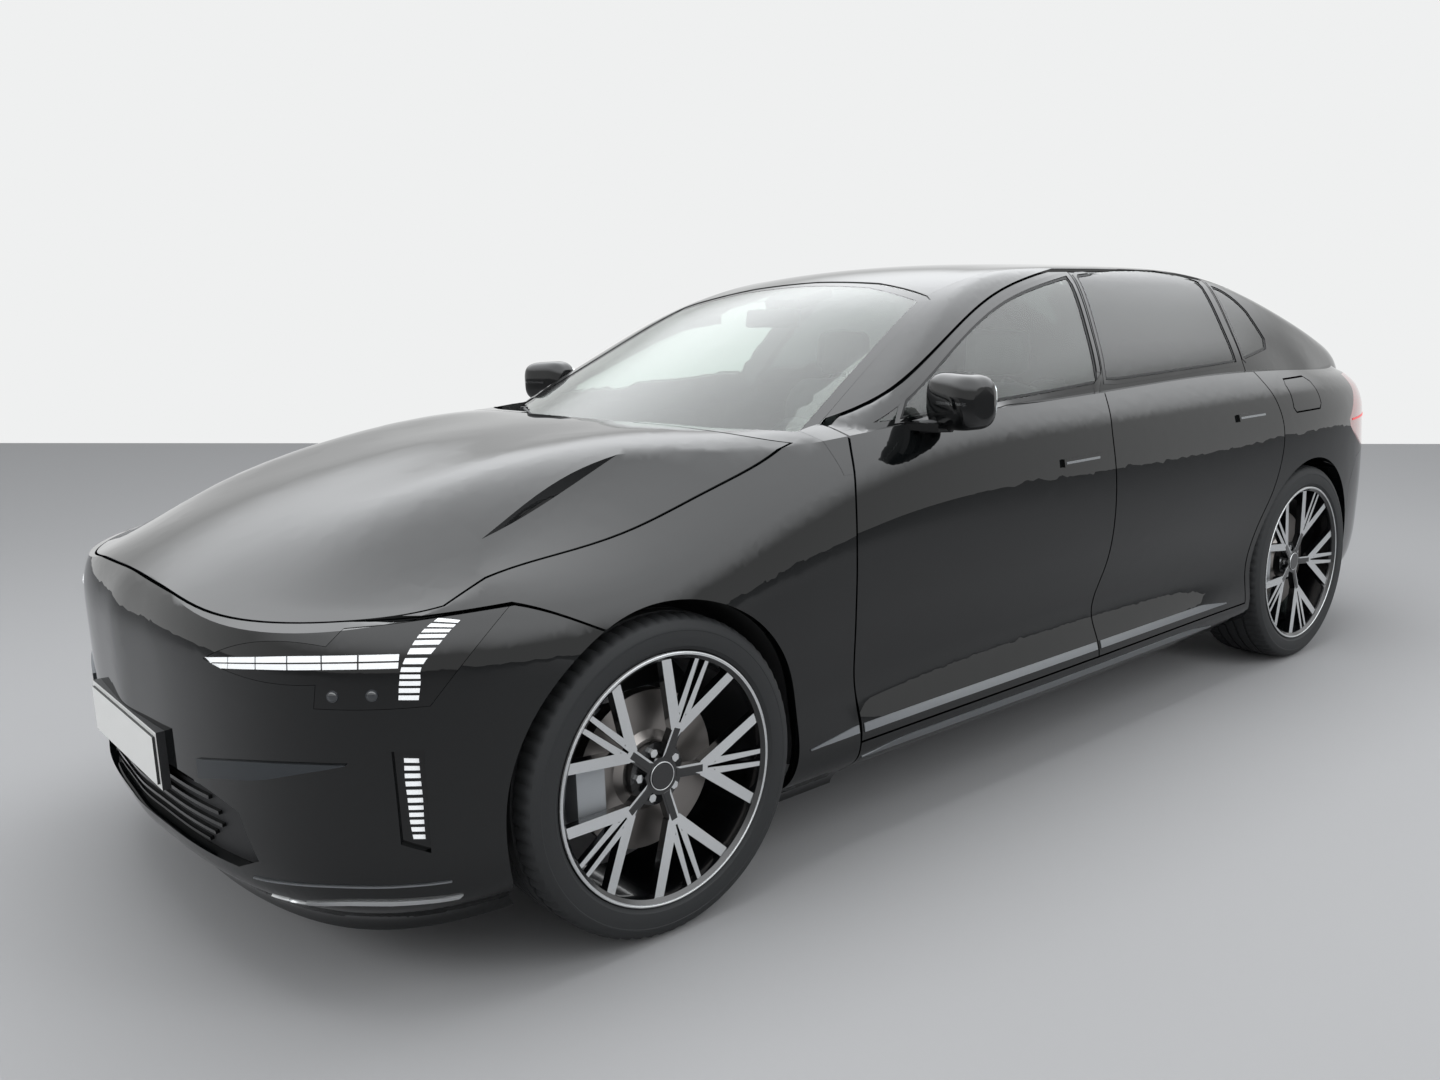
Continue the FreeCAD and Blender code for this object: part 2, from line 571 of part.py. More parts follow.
bonnet = bonnet_tool.common(lower[0]).cut(lower[skin])
bumper_tool = side_prism(FRONT_BUMPER, -1100)
front_bumper = bumper_tool.common(lower[0]).cut(lower[34]).cut(bonnet_hole)
lamp_hole = corner_prism(grown(HEADLAMP, 1))
low_hole = corner_prism(LOW_LAMP)
for cutter in (arch_front, lamp_hole, low_hole):
    front_bumper = front_bumper.cut(cutter).cut(mirrored(cutter))
front_bumper = front_bumper.cut(front_prism(both(INTAKE)))
headlamp = corner_prism(HEADLAMP).common(lower[0]).cut(lower[deep]).cut(bonnet_hole).cut(arch_front)
low_lamp = corner_prism(grown(LOW_LAMP, -0.3)).common(lower[0]).cut(lower[34])
low_lamp.translate(Vector(-9, 9, 0))
grille = front_prism(both(INTAKE, -0.3)).common(lower[skin]).cut(lower[34])

rear_bumper = side_prism(REAR_BUMPER, -1100).common(lower[0]).cut(lower[34]).cut(arch_rear).cut(mirrored(arch_rear))
rear_bumper = rear_bumper.cut(box(-1100, 1100, 1500, 2700, 100, 250))

tailgate_tool = plan_prism(both(TAILGATE), 776)
tailgate = tailgate_tool.common(whole[0]).cut(whole[34]).cut(plan_prism(both(REAR_SCREEN), 900))
rear_screen = pane(plan_prism(both(REAR_SCREEN, -0.3), 900))
windscreen = pane(plan_prism(both(WINDSCREEN), 900))
roof = plan_prism(both(ROOF), 1200, straight=True).common(cabin[0]).cut(cabin[skin]).cut(screen_hole)

def largest(shape):
    """The main solid, without the slivers the cuts leave."""
    return max(shape.Solids, key=lambda solid: solid.Volume)


# Door mirrors: a rounded housing on a short arm
MIRROR = [(-92, 34, 42), (-70, 52, 68), (0, 60, 75), (78, 56, 66), (104, 30, 40)]


def squircle(x, half_depth, half_height):
    """A closed curve between an ellipse and a rectangle, across the X axis."""
    points = []
    for k in range(16):
        a = 2 * math.pi * k / 16
        c, s = math.cos(a), math.sin(a)
        points.append(Vector(x, half_depth * math.copysign(abs(c) ** 0.6, c),
                             half_height * math.copysign(abs(s) ** 0.6, s)))
    curve = Part.BSplineCurve()
    curve.interpolate(Points=points, PeriodicFlag=True)
    return Part.Wire(curve.toShape())


mirror_head = Part.makeLoft([squircle(*row) for row in MIRROR], True)
mirror_head.rotate(Vector(0, 0, 0), Vector(0, 0, 1), -14)
mirror_head.translate(place(988, -640, 1160))
mirror_arm = box(860, 985, -720, -640, 1086, 1108).cut(whole[0])
mirror = largest(mirror_head.fuse(mirror_arm))

# Door handles: bars that stand 9 mm proud of the doors
proud = wrap_solid(-9)


def handle(y, z):
    return box(930, 1000, y - 95, y + 95, z - 12, z + 12).common(proud)


front_door = front_door.fuse(handle(-40, 941)).removeSplitter()
rear_door = rear_door.fuse(handle(1015, 985)).removeSplitter()

# Body sides, panels and glass
for side, turn in (("left", lambda s: s), ("right", mirrored)):
    add("door_front_" + side, turn(largest(front_door)))
    add("door_rear_" + side, turn(largest(rear_door)))
    add("door_glass_front_" + side, turn(front_pane))
    add("door_glass_rear_" + side, turn(rear_pane))
    add("mirror_" + side, turn(mirror))
    add("fender_" + side, turn(fender))
    add("headlamp_" + side, Part.makeCompound([turn(headlamp), turn(low_lamp)]))
    add("body_side_" + side, turn(largest(body_side)))
add("quarter_glass", Part.makeCompound([quarter_pane, mirrored(quarter_pane)]))
add("charge_flap", charge_flap)
add("tail_lamps", Part.makeCompound([largest(tail_lamp), mirrored(largest(tail_lamp))]))
add("bonnet", bonnet)
add("front_bumper", front_bumper)
add("rear_bumper", rear_bumper)
add("grille", grille)
add("tailgate", tailgate)
add("rear_screen", rear_screen)
add("windscreen", windscreen)
add("roof", roof)

# Floor, bulkhead and load bay
floor = box(-900, 900, -1090, 1150, 320, 334).fuse(box(-900, 900, 1138, 1150, 320, 560))
floor = floor.fuse(box(-640, 640, 1138, 2400, 548, 560)).fuse(box(-640, 640, 2388, 2400, 420, 760))
floor = floor.cut(arch_rear).cut(mirrored(arch_rear)).common(whole[deep])
beam = box(-560, 560, 2399, 2520, 470, 600).common(lower[34])
floor = floor.fuse(beam)
for x in (-420, 420):
    stop = Part.makeCylinder(14, 200, Vector(x, py(2380), pz(805)), Vector(0, 1, 0)).common(lower[34])
    stop.translate(Vector(0, -seat_gap, 0))
    floor = floor.fuse(box(x - 25, x + 25, 2388, 2400, 700, 825)).fuse(stop)
floor = largest(floor)
add("floor_pan", floor)

structure = box(-800, 800, -1110, -1090, 320, 1010).common(whole[deep])
for x0, x1 in ((-480, -400), (400, 480)):
    structure = structure.fuse(box(x0, x1, -2300, -1100, 430, 560))
for x0, x1 in ((-480, -432), (432, 480)):
    structure = structure.fuse(box(x0, x1, -1720, -1480, 430, 880))
structure = structure.fuse(box(-560, 560, -2520, -2290, 480, 575).common(lower[34]).cut(front_prism(both(INTAKE, 6))))
cowl = plan_prism(both([(0, -1290), (400, -1280), (740, -1200), (800, -1090), (768, -1006), (640, -1055),
                        (400, -1110), (0, -1130)]), 700).common(cabin[12]).cut(cabin[40]).common(lower[34])
structure = structure.fuse(cowl)
for x in (-445, 445):
    stop = Part.makeCylinder(12, 600, Vector(x, py(-2200), pz(550))).common(lower[skin])
    stop.translate(Vector(0, 0, -seat_gap))
    structure = structure.fuse(stop)
tub = box(-430, 430, -2130, -1330, 545, 880).cut(box(-418, 418, -2118, -1342, 557, 881))
structure = structure.fuse(tub)
structure = structure.cut(arch_front).cut(mirrored(arch_front))
add("front_structure", structure)


# Wheel arch liners
def liner(axle, r, x0, x1):
    ring = tube_x(px(x0), px(x1), axle, size("tyre_radius"), r + 9).cut(
        tube_x(px(x0) - 1, px(x1) + 1, axle, size("tyre_radius"), r + 2))
    return ring.cut(Part.makeBox(2000, 1200, 1200, Vector(0, axle - 600, size("tyre_radius") - 1290)))


front_liner = liner(front_axle, front_arch_radius, 515, 1000).cut(structure).common(lower[34]).cut(lamp_hole)
front_liner.translate(Vector(-seat_gap, 0, 0))
rear_liner = liner(rear_axle, size("arch_radius"), 655, 830).cut(body_side).cut(floor)
add("wheel_liners", Part.makeCompound([largest(front_liner), mirrored(largest(front_liner)),
                                       largest(rear_liner), mirrored(largest(rear_liner))]))


# Cabin
def slab(outline, x0, x1):
    """A (y, z) outline carried across from x0 to x1."""
    points = [place(x0, y, z) for y, z in outline]
    return Part.Face(Part.makePolygon(points + points[:1])).extrude(Vector(px(x1) - px(x0), 0, 0))


seat_parts = []
for x in (-370, 370):
    half = size("seat_width") / 2
    cushion = slab([(-330, 470), (160, 440), (190, 580), (-300, 600), (-340, 560)], x - half, x + half)
    back = slab([(110, 560), (215, 560), (345, 1110), (310, 1150), (250, 1140)], x - half + 20, x + half - 20)
    head = slab([(285, 1140), (360, 1150), (375, 1310), (310, 1320)], x - 125, x + 125)
    foot = slab([(-250, 334), (120, 334), (150, 460), (-280, 480)], x - 190, x + 190)
    seat_parts.append(cushion.fuse(back).fuse(head).fuse(foot))
add("front_seats", Part.makeCompound(seat_parts))

bench = slab([(640, 430), (1120, 400), (1120, 560), (680, 590), (640, 560)], -640, 640)
bench = bench.fuse(slab([(1060, 420), (1132, 420), (1132, 560), (1330, 1080), (1270, 1110), (1200, 1080)], -600, 600))
bench = bench.fuse(slab([(700, 334), (1080, 334), (1080, 440), (700, 460)], -560, 560))
for x in (-360, 360):
    bench = bench.fuse(slab([(1240, 1080), (1310, 1080), (1350, 1240), (1290, 1250)], x - 120, x + 120))
add("rear_bench", bench)

dash = slab([(-1085, 700), (-1000, 640), (-780, 690), (-690, 800), (-680, 930), (-760, 985), (-1050, 985)], -720, 720)
console = slab([(-800, 334), (300, 334), (300, 600), (-300, 610), (-640, 700), (-800, 700)], -90, 90)
WHEEL_LEAN = 65
wheel_axis = Vector(0, math.sin(math.radians(WHEEL_LEAN)), math.cos(math.radians(WHEEL_LEAN)))
wheel_centre = place(370, -560, 905)
column = Part.makeCylinder(32, 150, wheel_centre - wheel_axis * (30 + seat_gap), -wheel_axis)
add("dashboard", dash.fuse(console).common(whole[deep]).fuse(column))

# Number plate on its holder
plate = box(-260, 260, -2500, -2494, 424, 534)
plate.translate(Vector(0, nose - 10 - plate.BoundBox.YMin, 0))
holder = box(-272, 272, -2500, -2420, 412, 546)
holder.translate(Vector(0, nose - 4 - holder.BoundBox.YMin, 0))
add("front_plate", plate.fuse(holder.cut(whole[0])))

# Wipers: thin strips that follow the foot of the windscreen
WIPERS = [[(-60, -1168), (560, -1092), (560, -1078), (-60, -1150)], [(-640, -1098), (-90, -1138), (-90, -1122),
                                                                    (-640, -1084)]]
over_glass = cabin[-12].cut(cabin[2.7])
wipers = [plan_prism(outline, 900).common(over_glass) for outline in WIPERS]
add("wipers", Part.makeCompound([largest(w) for w in wipers]))


def sized(kind, name, **formulas):
    """A primitive whose sizes are formulas of the sheet."""
    piece = doc.addObject(kind, name)
    for prop, formula in formulas.items():
        piece.setExpression(prop, formula)
    return piece


pack = sized("Part::Box", "battery_pack", Length="<<Sizes>>.pack_width", Width="<<Sizes>>.pack_length",
             Height="<<Sizes>>.pack_height")
pack.Label = "battery_pack"
pack.Placement.Base = Vector(-size("pack_width") / 2, -size("pack_length") / 2 - 20, pz(320) - size("pack_height"))
pieces.append(pack)

# Motors, subframes, links and struts
hub = size("tyre_radius")


def rod(a, b, radius):
    return Part.makeCylinder(radius, a.distanceToPoint(b), a, b - a)


def running_gear(axle, reach, shaft_end, tower):
    """Motor, subframe, lower arms and shafts; the arms end at x = reach."""
    y = axle
    gear = Part.makeBox(500, 260, 190, Vector(-250, y - 130, hub - 110))
    gear = gear.fuse(Part.makeBox(900, 60, 40, Vector(-450, y - 160, hub - 150)))
    gear = gear.fuse(Part.makeBox(900, 60, 40, Vector(-450, y + 100, hub - 150)))
    gear = gear.fuse(Part.makeBox(120, 320, 40, Vector(-450, y - 160, hub - 150)))
    gear = gear.fuse(Part.makeBox(120, 320, 40, Vector(330, y - 160, hub - 150)))
    for s in (-1, 1):
        arm = Part.makeBox(reach - 400, 60, 26, Vector(400, y - 30, hub - 143))
        shaft = Part.makeCylinder(16, shaft_end - 240, Vector(240, y, hub), Vector(1, 0, 0))
        part = arm.fuse(shaft)
        if tower:
            foot = hub - 130
            part = part.fuse(Part.makeCylinder(26, pz(548) - seat_gap - foot, Vector(tower, y, foot)))
        gear = gear.fuse(part if s > 0 else mirrored(part))
    return gear


kingpin_x = wheel_x - 60
front_gear = running_gear(front_axle, kingpin_x + 25, kingpin_x - 80, 0)
for x in (-480, 400):
    post = Part.makeBox(80, 60, pz(430) - seat_gap - (hub - 125), Vector(x, front_axle - 30, hub - 125))
    front_gear = front_gear.fuse(post)
add("front_suspension", front_gear)
rear_gear = running_gear(rear_axle, wheel_x - 100, wheel_x - 100, 600)


def carrier(s):
    """Hub carrier with stub axle and brake caliper, about the wheel centre; s is the side."""
    foot = seat_gap - 117
    block = Part.makeBox(90, 90, 130 - foot, Vector(-110, -45, foot))
    stub = Part.makeCylinder(34, 80 - seat_gap, Vector(-60, 0, 0), Vector(1, 0, 0))
    caliper = Part.makeBox(124, 74, 130, Vector(-64, -214, -65)).cut(
        Part.makeCylinder(size("disc_radius") + 8, size("disc_thickness") + 14, Vector(-14, 0, 0), Vector(1, 0, 0)))
    bracket = Part.makeBox(40, 180, 60, Vector(-110, -212, -30)).fuse(Part.makeBox(50, 30, 60, Vector(-110, -214, -30)))
    part = block.fuse(stub).fuse(caliper).fuse(bracket)
    if s < 0:
        part = mirrored(part)
    return part


for s, side in ((1, "left"), (-1, "right")):
    knuckle = add("knuckle_" + side, carrier(s))
    knuckle.Placement.Base = Vector(s * wheel_x, front_axle, hub)
    rear = carrier(s)
    rear.translate(Vector(s * wheel_x, rear_axle, hub))
    rear_gear = rear_gear.fuse(rear)
add("rear_suspension", rear_gear)


# Wheels: turned bodies about the X axis
def turned(name, profile, formulas=()):
    """A body turned about its own X axis from an (x, r) profile."""
    body = doc.addObject("PartDesign::Body", name)
    body.Label = name
    plane = [f for f in body.Origin.OriginFeatures if f.Role == "XY_Plane"][0]
    sketch = body.newObject("Sketcher::SketchObject", name + "_profile")
    sketch.AttachmentSupport = [(plane, "")]
    sketch.MapMode = "FlatFace"
    n = len(profile)
    for k in range(n):
        a, b = profile[k], profile[(k + 1) % n]
        sketch.addGeometry(Part.LineSegment(Vector(a[0], a[1], 0), Vector(b[0], b[1], 0)), False)
    for k in range(n):
        sketch.addConstraint(Sketcher.Constraint("Coincident", k, 2, (k + 1) % n, 1))
    for k, alias, part in formulas:
        sketch.addConstraint(Sketcher.Constraint("DistanceY", -1, 1, k, 1, profile[k][1]))
        sketch.setExpression("Constraints[%d]" % (sketch.ConstraintCount - 1), alias)
    turn = body.newObject("PartDesign::Revolution", name + "_turned")
    turn.Profile = sketch
    turn.ReferenceAxis = (sketch, ["H_Axis"])
    turn.Angle = 360
    body.Tip = turn
    doc.recompute()
    return body


half_tyre = size("tyre_width") / 2
bore = size("tyre_bore")
outer = size("tyre_radius")
TYRE = [(-half_tyre, bore), (half_tyre, bore), (half_tyre, outer - 26), (half_tyre - 18, outer - 5),
        (half_tyre - 36, outer), (36 - half_tyre, outer), (18 - half_tyre, outer - 5), (-half_tyre, outer - 26)]
flange = size("rim_flange_radius")
RIM = [(-116, flange), (116, flange), (118, flange - 2), (118, flange - 9), (110, flange - 18),
       (92, size("rim_inner_radius")), (-116, size("rim_inner_radius"))]
DISC = [(-6, 95), (-6, size("disc_radius")), (26, size("disc_radius")), (26, 95), (40, 78), (40, 0), (20, 0), (20, 60),
        (-6, 60)]


# degrees by which the spokes rise from the hub to the rim
SPOKE_RISE = 6
STEM = [(20, -13), (112, -14), (128, -6), (128, 6), (112, 14), (20, 13)]
ARM = [(104, 6), (108, 17), (260, 115), (276, 119), (284, 101), (139, 4)]
SLAT = [(120, 2), (150, 9), (150, 20), (283, 21), (283, 10)]


def spokes():
    """Five spokes, each a stem that forks into two arms with a pair of slats between them."""
    result = [Part.makeCylinder(44, 44 - seat_gap, Vector(40 + seat_gap, 0, 0), Vector(1, 0, 0)),
              Part.makeCylinder(74, 24 - seat_gap, Vector(40 + seat_gap, 0, 0), Vector(1, 0, 0))]
    for k in range(5):
        parts = [(STEM, 22)]
        for side in (-1, 1):
            parts += [([(r, w * side) for r, w in ARM], 22), ([(r, w * side) for r, w in SLAT], 16)]
        for outline, thick in parts:
            points = [Vector(84 - thick, r, w) for r, w in outline]
            bar = Part.Face(Part.makePolygon(points + points[:1])).extrude(Vector(thick, 0, 0))
            bar.rotate(Vector(84, 40, 0), Vector(0, 0, 1), -SPOKE_RISE)
            bar.rotate(Vector(0, 0, 0), Vector(1, 0, 0), 72 * k - 5)
            result.append(bar)
    inside_rim = Part.makeCylinder(flange - 5, 120, Vector(40, 0, 0), Vector(1, 0, 0))
    return result[0].multiFuse(result[1:]).common(inside_rim)


def wheel(name, s, axle):
    centre = Vector(s * wheel_x, axle, hub)
    heading = FreeCAD.Rotation(Vector(0, 0, 1), 0 if s > 0 else 180)
    tyre = turned("tyre_" + name, TYRE)
    rim = add("rim_" + name, barrel.fuse(star).removeSplitter())
    disc = turned("brake_disc_" + name, DISC)
    for piece in (tyre, rim, disc):
        piece.Placement = FreeCAD.Placement(centre, heading)
    pieces.extend([tyre, disc])


barrel_outline = [Vector(x, r, 0) for x, r in RIM]
barrel = Part.Face(Part.makePolygon(barrel_outline + barrel_outline[:1])).revolve(Vector(0, 0, 0), Vector(1, 0, 0), 360)
star = spokes()
wheel("front_left", 1, front_axle)
wheel("front_right", -1, front_axle)
wheel("rear_left", 1, rear_axle)
wheel("rear_right", -1, rear_axle)

# Steering wheel: rim, boss and three spokes about the Z axis, then leaned to the driver
ring = Part.makeTorus(size("wheel_rim_radius"), 15)
boss = Part.makeCylinder(62, 46, Vector(0, 0, -30))
steering = ring.fuse(boss)
for angle in (0, 180, 270):
    arm = Part.makeBox(size("wheel_rim_radius") - 40, 40, 14, Vector(45, -20, -10))
    arm.rotate(Vector(0, 0, 0), Vector(0, 0, 1), angle)
    steering = steering.fuse(arm)
steering_wheel = add("steering_wheel", steering)
steering_wheel.Placement = FreeCAD.Placement(wheel_centre, FreeCAD.Rotation(Vector(1, 0, 0), -WHEEL_LEAN))

doc.recompute()
os.makedirs("parts", exist_ok=True)
for piece in doc.Objects:
    assert "Invalid" not in piece.State and "Error" not in piece.State, piece.Label
for piece in pieces:
    assert not piece.Shape.isNull() and piece.Shape.isValid(), piece.Label
    piece.Shape.exportStep("parts/%s.step" % piece.Label)
    box_of = piece.Shape.BoundBox
    print(piece.Label, len(piece.Shape.Solids), round(piece.Shape.Volume / 1e6, 2),
          [round(v) for v in (box_of.XMin, box_of.XMax, box_of.YMin, box_of.YMax, box_of.ZMin, box_of.ZMax)])
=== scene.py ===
# %% [markdown]
# # A large five-door saloon car in Blender
# The CAD model already holds every panel at its real size. This lesson gives each panel the finish
# that the real one has, and models in finer detail what a CAD solid only stands for: tyres, wheels,
# lamps, trim and seats. Units are metres, X is the car's left, Y its tail and Z up.
# %% Load the CAD frame
import math
import bmesh
import bpy
from mathutils import Matrix, Vector
from mathutils.bvhtree import BVHTree


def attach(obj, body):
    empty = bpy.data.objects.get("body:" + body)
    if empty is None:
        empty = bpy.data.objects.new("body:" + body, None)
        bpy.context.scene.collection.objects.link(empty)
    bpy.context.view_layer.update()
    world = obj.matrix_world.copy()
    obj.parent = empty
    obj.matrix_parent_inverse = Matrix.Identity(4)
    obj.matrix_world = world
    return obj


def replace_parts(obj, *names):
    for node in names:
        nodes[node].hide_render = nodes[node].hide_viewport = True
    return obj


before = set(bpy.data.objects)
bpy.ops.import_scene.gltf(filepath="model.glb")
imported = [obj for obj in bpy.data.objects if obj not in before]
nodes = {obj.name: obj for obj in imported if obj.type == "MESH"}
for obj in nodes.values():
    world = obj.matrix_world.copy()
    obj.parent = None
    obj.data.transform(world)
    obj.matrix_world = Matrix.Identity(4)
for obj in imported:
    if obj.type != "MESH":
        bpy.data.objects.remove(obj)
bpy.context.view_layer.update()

# %% [markdown]
# ## Finishes
# A material starts from what the real surface is. Colours are written as sRGB hex, the way a paint
# maker's chart gives them, and one function turns them into the linear values that Blender works
# in.
# %% Colour and node helpers


def linear(code):
    channels = [int(code[i:i + 2], 16) / 255 for i in (1, 3, 5)]
    return [c / 12.92 if c <= 0.04045 else ((c + 0.055) / 1.055) ** 2.4 for c in channels] + [1.0]


def add_node(material, kind, links=(), inputs=(), **settings):
    """Adds one node: its links (socket, from_node, output), socket values and settings."""
    made = material.node_tree.nodes.new(kind)
    for name, value in settings.items():
        setattr(made, name, value)
    for socket, value in inputs:
        made.inputs[socket].default_value = value
    for socket, source, output in links:
        material.node_tree.links.new(source.outputs[output], made.inputs[socket])
    return made


def new_finish(name, colour, roughness, **values):
    """A material with one Principled surface; returns the material and its shader."""
    material = bpy.data.materials.new(name)
    material.use_nodes = True
    shader = material.node_tree.nodes["Principled BSDF"]
    shader.inputs["Base Color"].default_value = linear(colour)
    shader.inputs["Roughness"].default_value = roughness
    for socket, value in values.items():
        shader.inputs[socket.replace("_", " ")].default_value = value
    return material, shader


def grain(material, shader, size, depth, detail=3.0, kind="ShaderNodeTexNoise"):
    """A fine relief, size and depth in metres, read in the object's own coordinates."""
    place = add_node(material, "ShaderNodeTexCoord")
    pattern = add_node(material, kind, [("Vector", place, "Object")], [("Scale", 1 / size)])
    if kind == "ShaderNodeTexNoise":
        pattern.inputs["Detail"].default_value = detail
    relief = add_node(material, "ShaderNodeBump", [("Height", pattern, 0)],
                      [("Distance", depth), ("Strength", 1.0)])
    material.node_tree.links.new(relief.outputs["Normal"], shader.inputs["Normal"])
    return pattern


# %% [markdown]
# ### Body paint
# Black two-coat paint: pigment under a clear lacquer. The lacquer gives the sharp reflection, and
# its faint waviness, called orange peel, has waves of about 4 mm and a depth of a few microns.
# %% Black lacquer
paint, shader = new_finish("black_lacquer_paint", "#07090A", 0.5, Specular_IOR_Level=0.0,
                           Coat_Weight=1.0, Coat_Roughness=0.012, Coat_IOR=1.5)
grain(paint, shader, 0.004, 0.000004, 1.0)
print("paint", paint.name)

# %% [markdown]
# ### Metals
# The spokes' faces are cut on a lathe after painting, so bare aluminium shows with very fine
# turning lines. The brake discs are cast iron, ground flat. The side strips are anodised aluminium,
# satin and a little dark, and the blades in the nose are dyed darker still.
# %% Aluminium, iron and steel
cut_alloy, shader = new_finish("diamond_cut_aluminium", "#DADCDD", 0.24, Metallic=1.0)
grain(cut_alloy, shader, 0.0012, 0.00001, 2.0)
rim_enamel, shader = new_finish("gloss_black_wheel_enamel", "#0B0C0E", 0.22, Coat_Weight=0.6,
                                Coat_Roughness=0.05)
grain(rim_enamel, shader, 0.003, 0.00001, 1.0)
anodised, shader = new_finish("satin_anodised_aluminium", "#8E9194", 0.34, Metallic=1.0)
grain(anodised, shader, 0.0008, 0.000008, 2.0)
bright_satin, shader = new_finish("bright_satin_chrome", "#D3D5D6", 0.30, Metallic=1.0)
grain(bright_satin, shader, 0.0008, 0.000006, 2.0)
anodised_dark, shader = new_finish("dark_anodised_aluminium", "#4A4D50", 0.36, Metallic=1.0)
grain(anodised_dark, shader, 0.0008, 0.000008, 2.0)
iron, shader = new_finish("ground_cast_iron", "#8B8784", 0.38, Metallic=1.0)
grain(iron, shader, 0.0015, 0.00003, 4.0)
cast_alloy, shader = new_finish("cast_aluminium", "#8C8F92", 0.52, Metallic=0.9)
grain(cast_alloy, shader, 0.004, 0.0001, 4.0)
caliper_paint, shader = new_finish("silver_grey_caliper_paint", "#9EA2A6", 0.42, Metallic=0.4,
                                   Coat_Weight=0.3)
grain(caliper_paint, shader, 0.002, 0.00002, 2.0)
dipped_steel, shader = new_finish("dip_coated_steel", "#1B1C1E", 0.5)
grain(dipped_steel, shader, 0.006, 0.00008, 3.0)
mirror_silver, shader = new_finish("silvered_mirror_glass", "#E4E8EA", 0.02, Metallic=1.0)
print("metals ready")

# %% [markdown]
# ### Rubber and plastics
# Tyre rubber is matt and slightly grey where it has been handled. Moulded polypropylene has a
# leather-like grain of about 1 mm, and black acrylic trim is polished like glass.
# %% Tyres, mouldings and acrylic
rubber, shader = new_finish("tyre_rubber", "#17181A", 0.72)
tone = grain(rubber, shader, 0.0025, 0.00012, 4.0)
worn = add_node(rubber, "ShaderNodeMix", [("Factor", tone, 0)], data_type="RGBA")
worn.inputs["A"].default_value = linear("#131415")
worn.inputs["B"].default_value = linear("#202224")
rubber.node_tree.links.new(worn.outputs["Result"], shader.inputs["Base Color"])
grained_black, shader = new_finish("grained_black_polypropylene", "#141517", 0.58)
grain(grained_black, shader, 0.0012, 0.00015, 2.0, "ShaderNodeTexVoronoi")
liner_felt, shader = new_finish("needle_felt_arch_liner", "#0F1011", 0.95)
grain(liner_felt, shader, 0.002, 0.0006, 5.0)
acrylic, shader = new_finish("polished_black_acrylic", "#08090A", 0.06, IOR=1.49)
grain(acrylic, shader, 0.02, 0.000004, 0.0)
seal_rubber, shader = new_finish("extruded_seal_rubber", "#101112", 0.66)
grain(seal_rubber, shader, 0.002, 0.00004, 2.0)
number_plate, shader = new_finish("white_plate_sheet", "#E9EAE8", 0.35, Coat_Weight=0.4)
grain(number_plate, shader, 0.003, 0.00001, 1.0)
print("rubber and plastics ready")

# %% [markdown]
# ### Glass and lenses
# The windscreen and front windows are laminated glass with a light green-grey tint; behind the
# front seats the glass is darker privacy glass. The light guides are milky acrylic, and the
# mirrors' turn signals have clear polycarbonate covers.
# %% Glass, lenses and light guides


def glass(name, colour, ior=1.5):
    """A clear, tinted finish, as even as float glass."""
    material, made = new_finish(name, colour, 0.0, Transmission_Weight=1.0, IOR=ior)
    grain(material, made, 0.25, 0.00002, 0.0)
    return material


screen_glass = glass("green_tinted_laminated_glass", "#C9D6CF")
privacy_glass = glass("privacy_glass", "#4A5250")
lens_clear = glass("clear_polycarbonate", "#F2F4F5", ior=1.58)
lens_red, shader = new_finish("red_acrylic_lens", "#8E0F14", 0.08, Coat_Weight=0.8, IOR=1.49)
grain(lens_red, shader, 0.004, 0.00005, 0.0, "ShaderNodeTexVoronoi")
light_guide, shader = new_finish("milky_acrylic_light_guide", "#F1F4F6", 0.25, IOR=1.49,
                                 Emission_Strength=0.35)
shader.inputs["Emission Color"].default_value = linear("#F4F7FA")
grain(light_guide, shader, 0.002, 0.00004, 0.0, "ShaderNodeTexVoronoi")
projector_glass, shader = new_finish("projector_lens_glass", "#1B2026", 0.04, Coat_Weight=1.0,
                                     IOR=1.6)
grain(projector_glass, shader, 0.01, 0.000004, 0.0)
tail_guide, shader = new_finish("red_light_guide", "#C2151B", 0.3, IOR=1.49, Emission_Strength=0.5)
shader.inputs["Emission Color"].default_value = linear("#E0242A")
grain(tail_guide, shader, 0.002, 0.00004, 0.0, "ShaderNodeTexVoronoi")
print("glass ready")

# %% [markdown]
# ### Cabin
# The seats wear charcoal nappa leather, whose pores are about 1.6 mm apart, as coarse as they need
# to be to show. The dash is soft foamed plastic, and the displays are black glass.
# %% Leather, foam and display glass
leather, shader = new_finish("charcoal_nappa_leather", "#33363A", 0.46, Sheen_Weight=0.1)
grain(leather, shader, 0.0016, 0.00025, 2.0, "ShaderNodeTexVoronoi")
foam_skin, shader = new_finish("soft_foamed_dash_skin", "#26282B", 0.6)
grain(foam_skin, shader, 0.0015, 0.0002, 2.0, "ShaderNodeTexVoronoi")
screen_black, shader = new_finish("black_display_glass", "#050607", 0.04)
grain(screen_black, shader, 0.05, 0.000004, 0.0)
print("cabin finishes ready")

# %% [markdown]
# ## Dressing the CAD panels
# The CAD meshes arrive as loose triangles. Welding them, splitting the real edges and weighting the
# normals by face area makes a lacquered panel reflect as one smooth surface, and no vertex of the
# frame is moved.
# %% Give each CAD node its finish
WELD_WITHIN = 0.00002
EDGE_ANGLE = 28


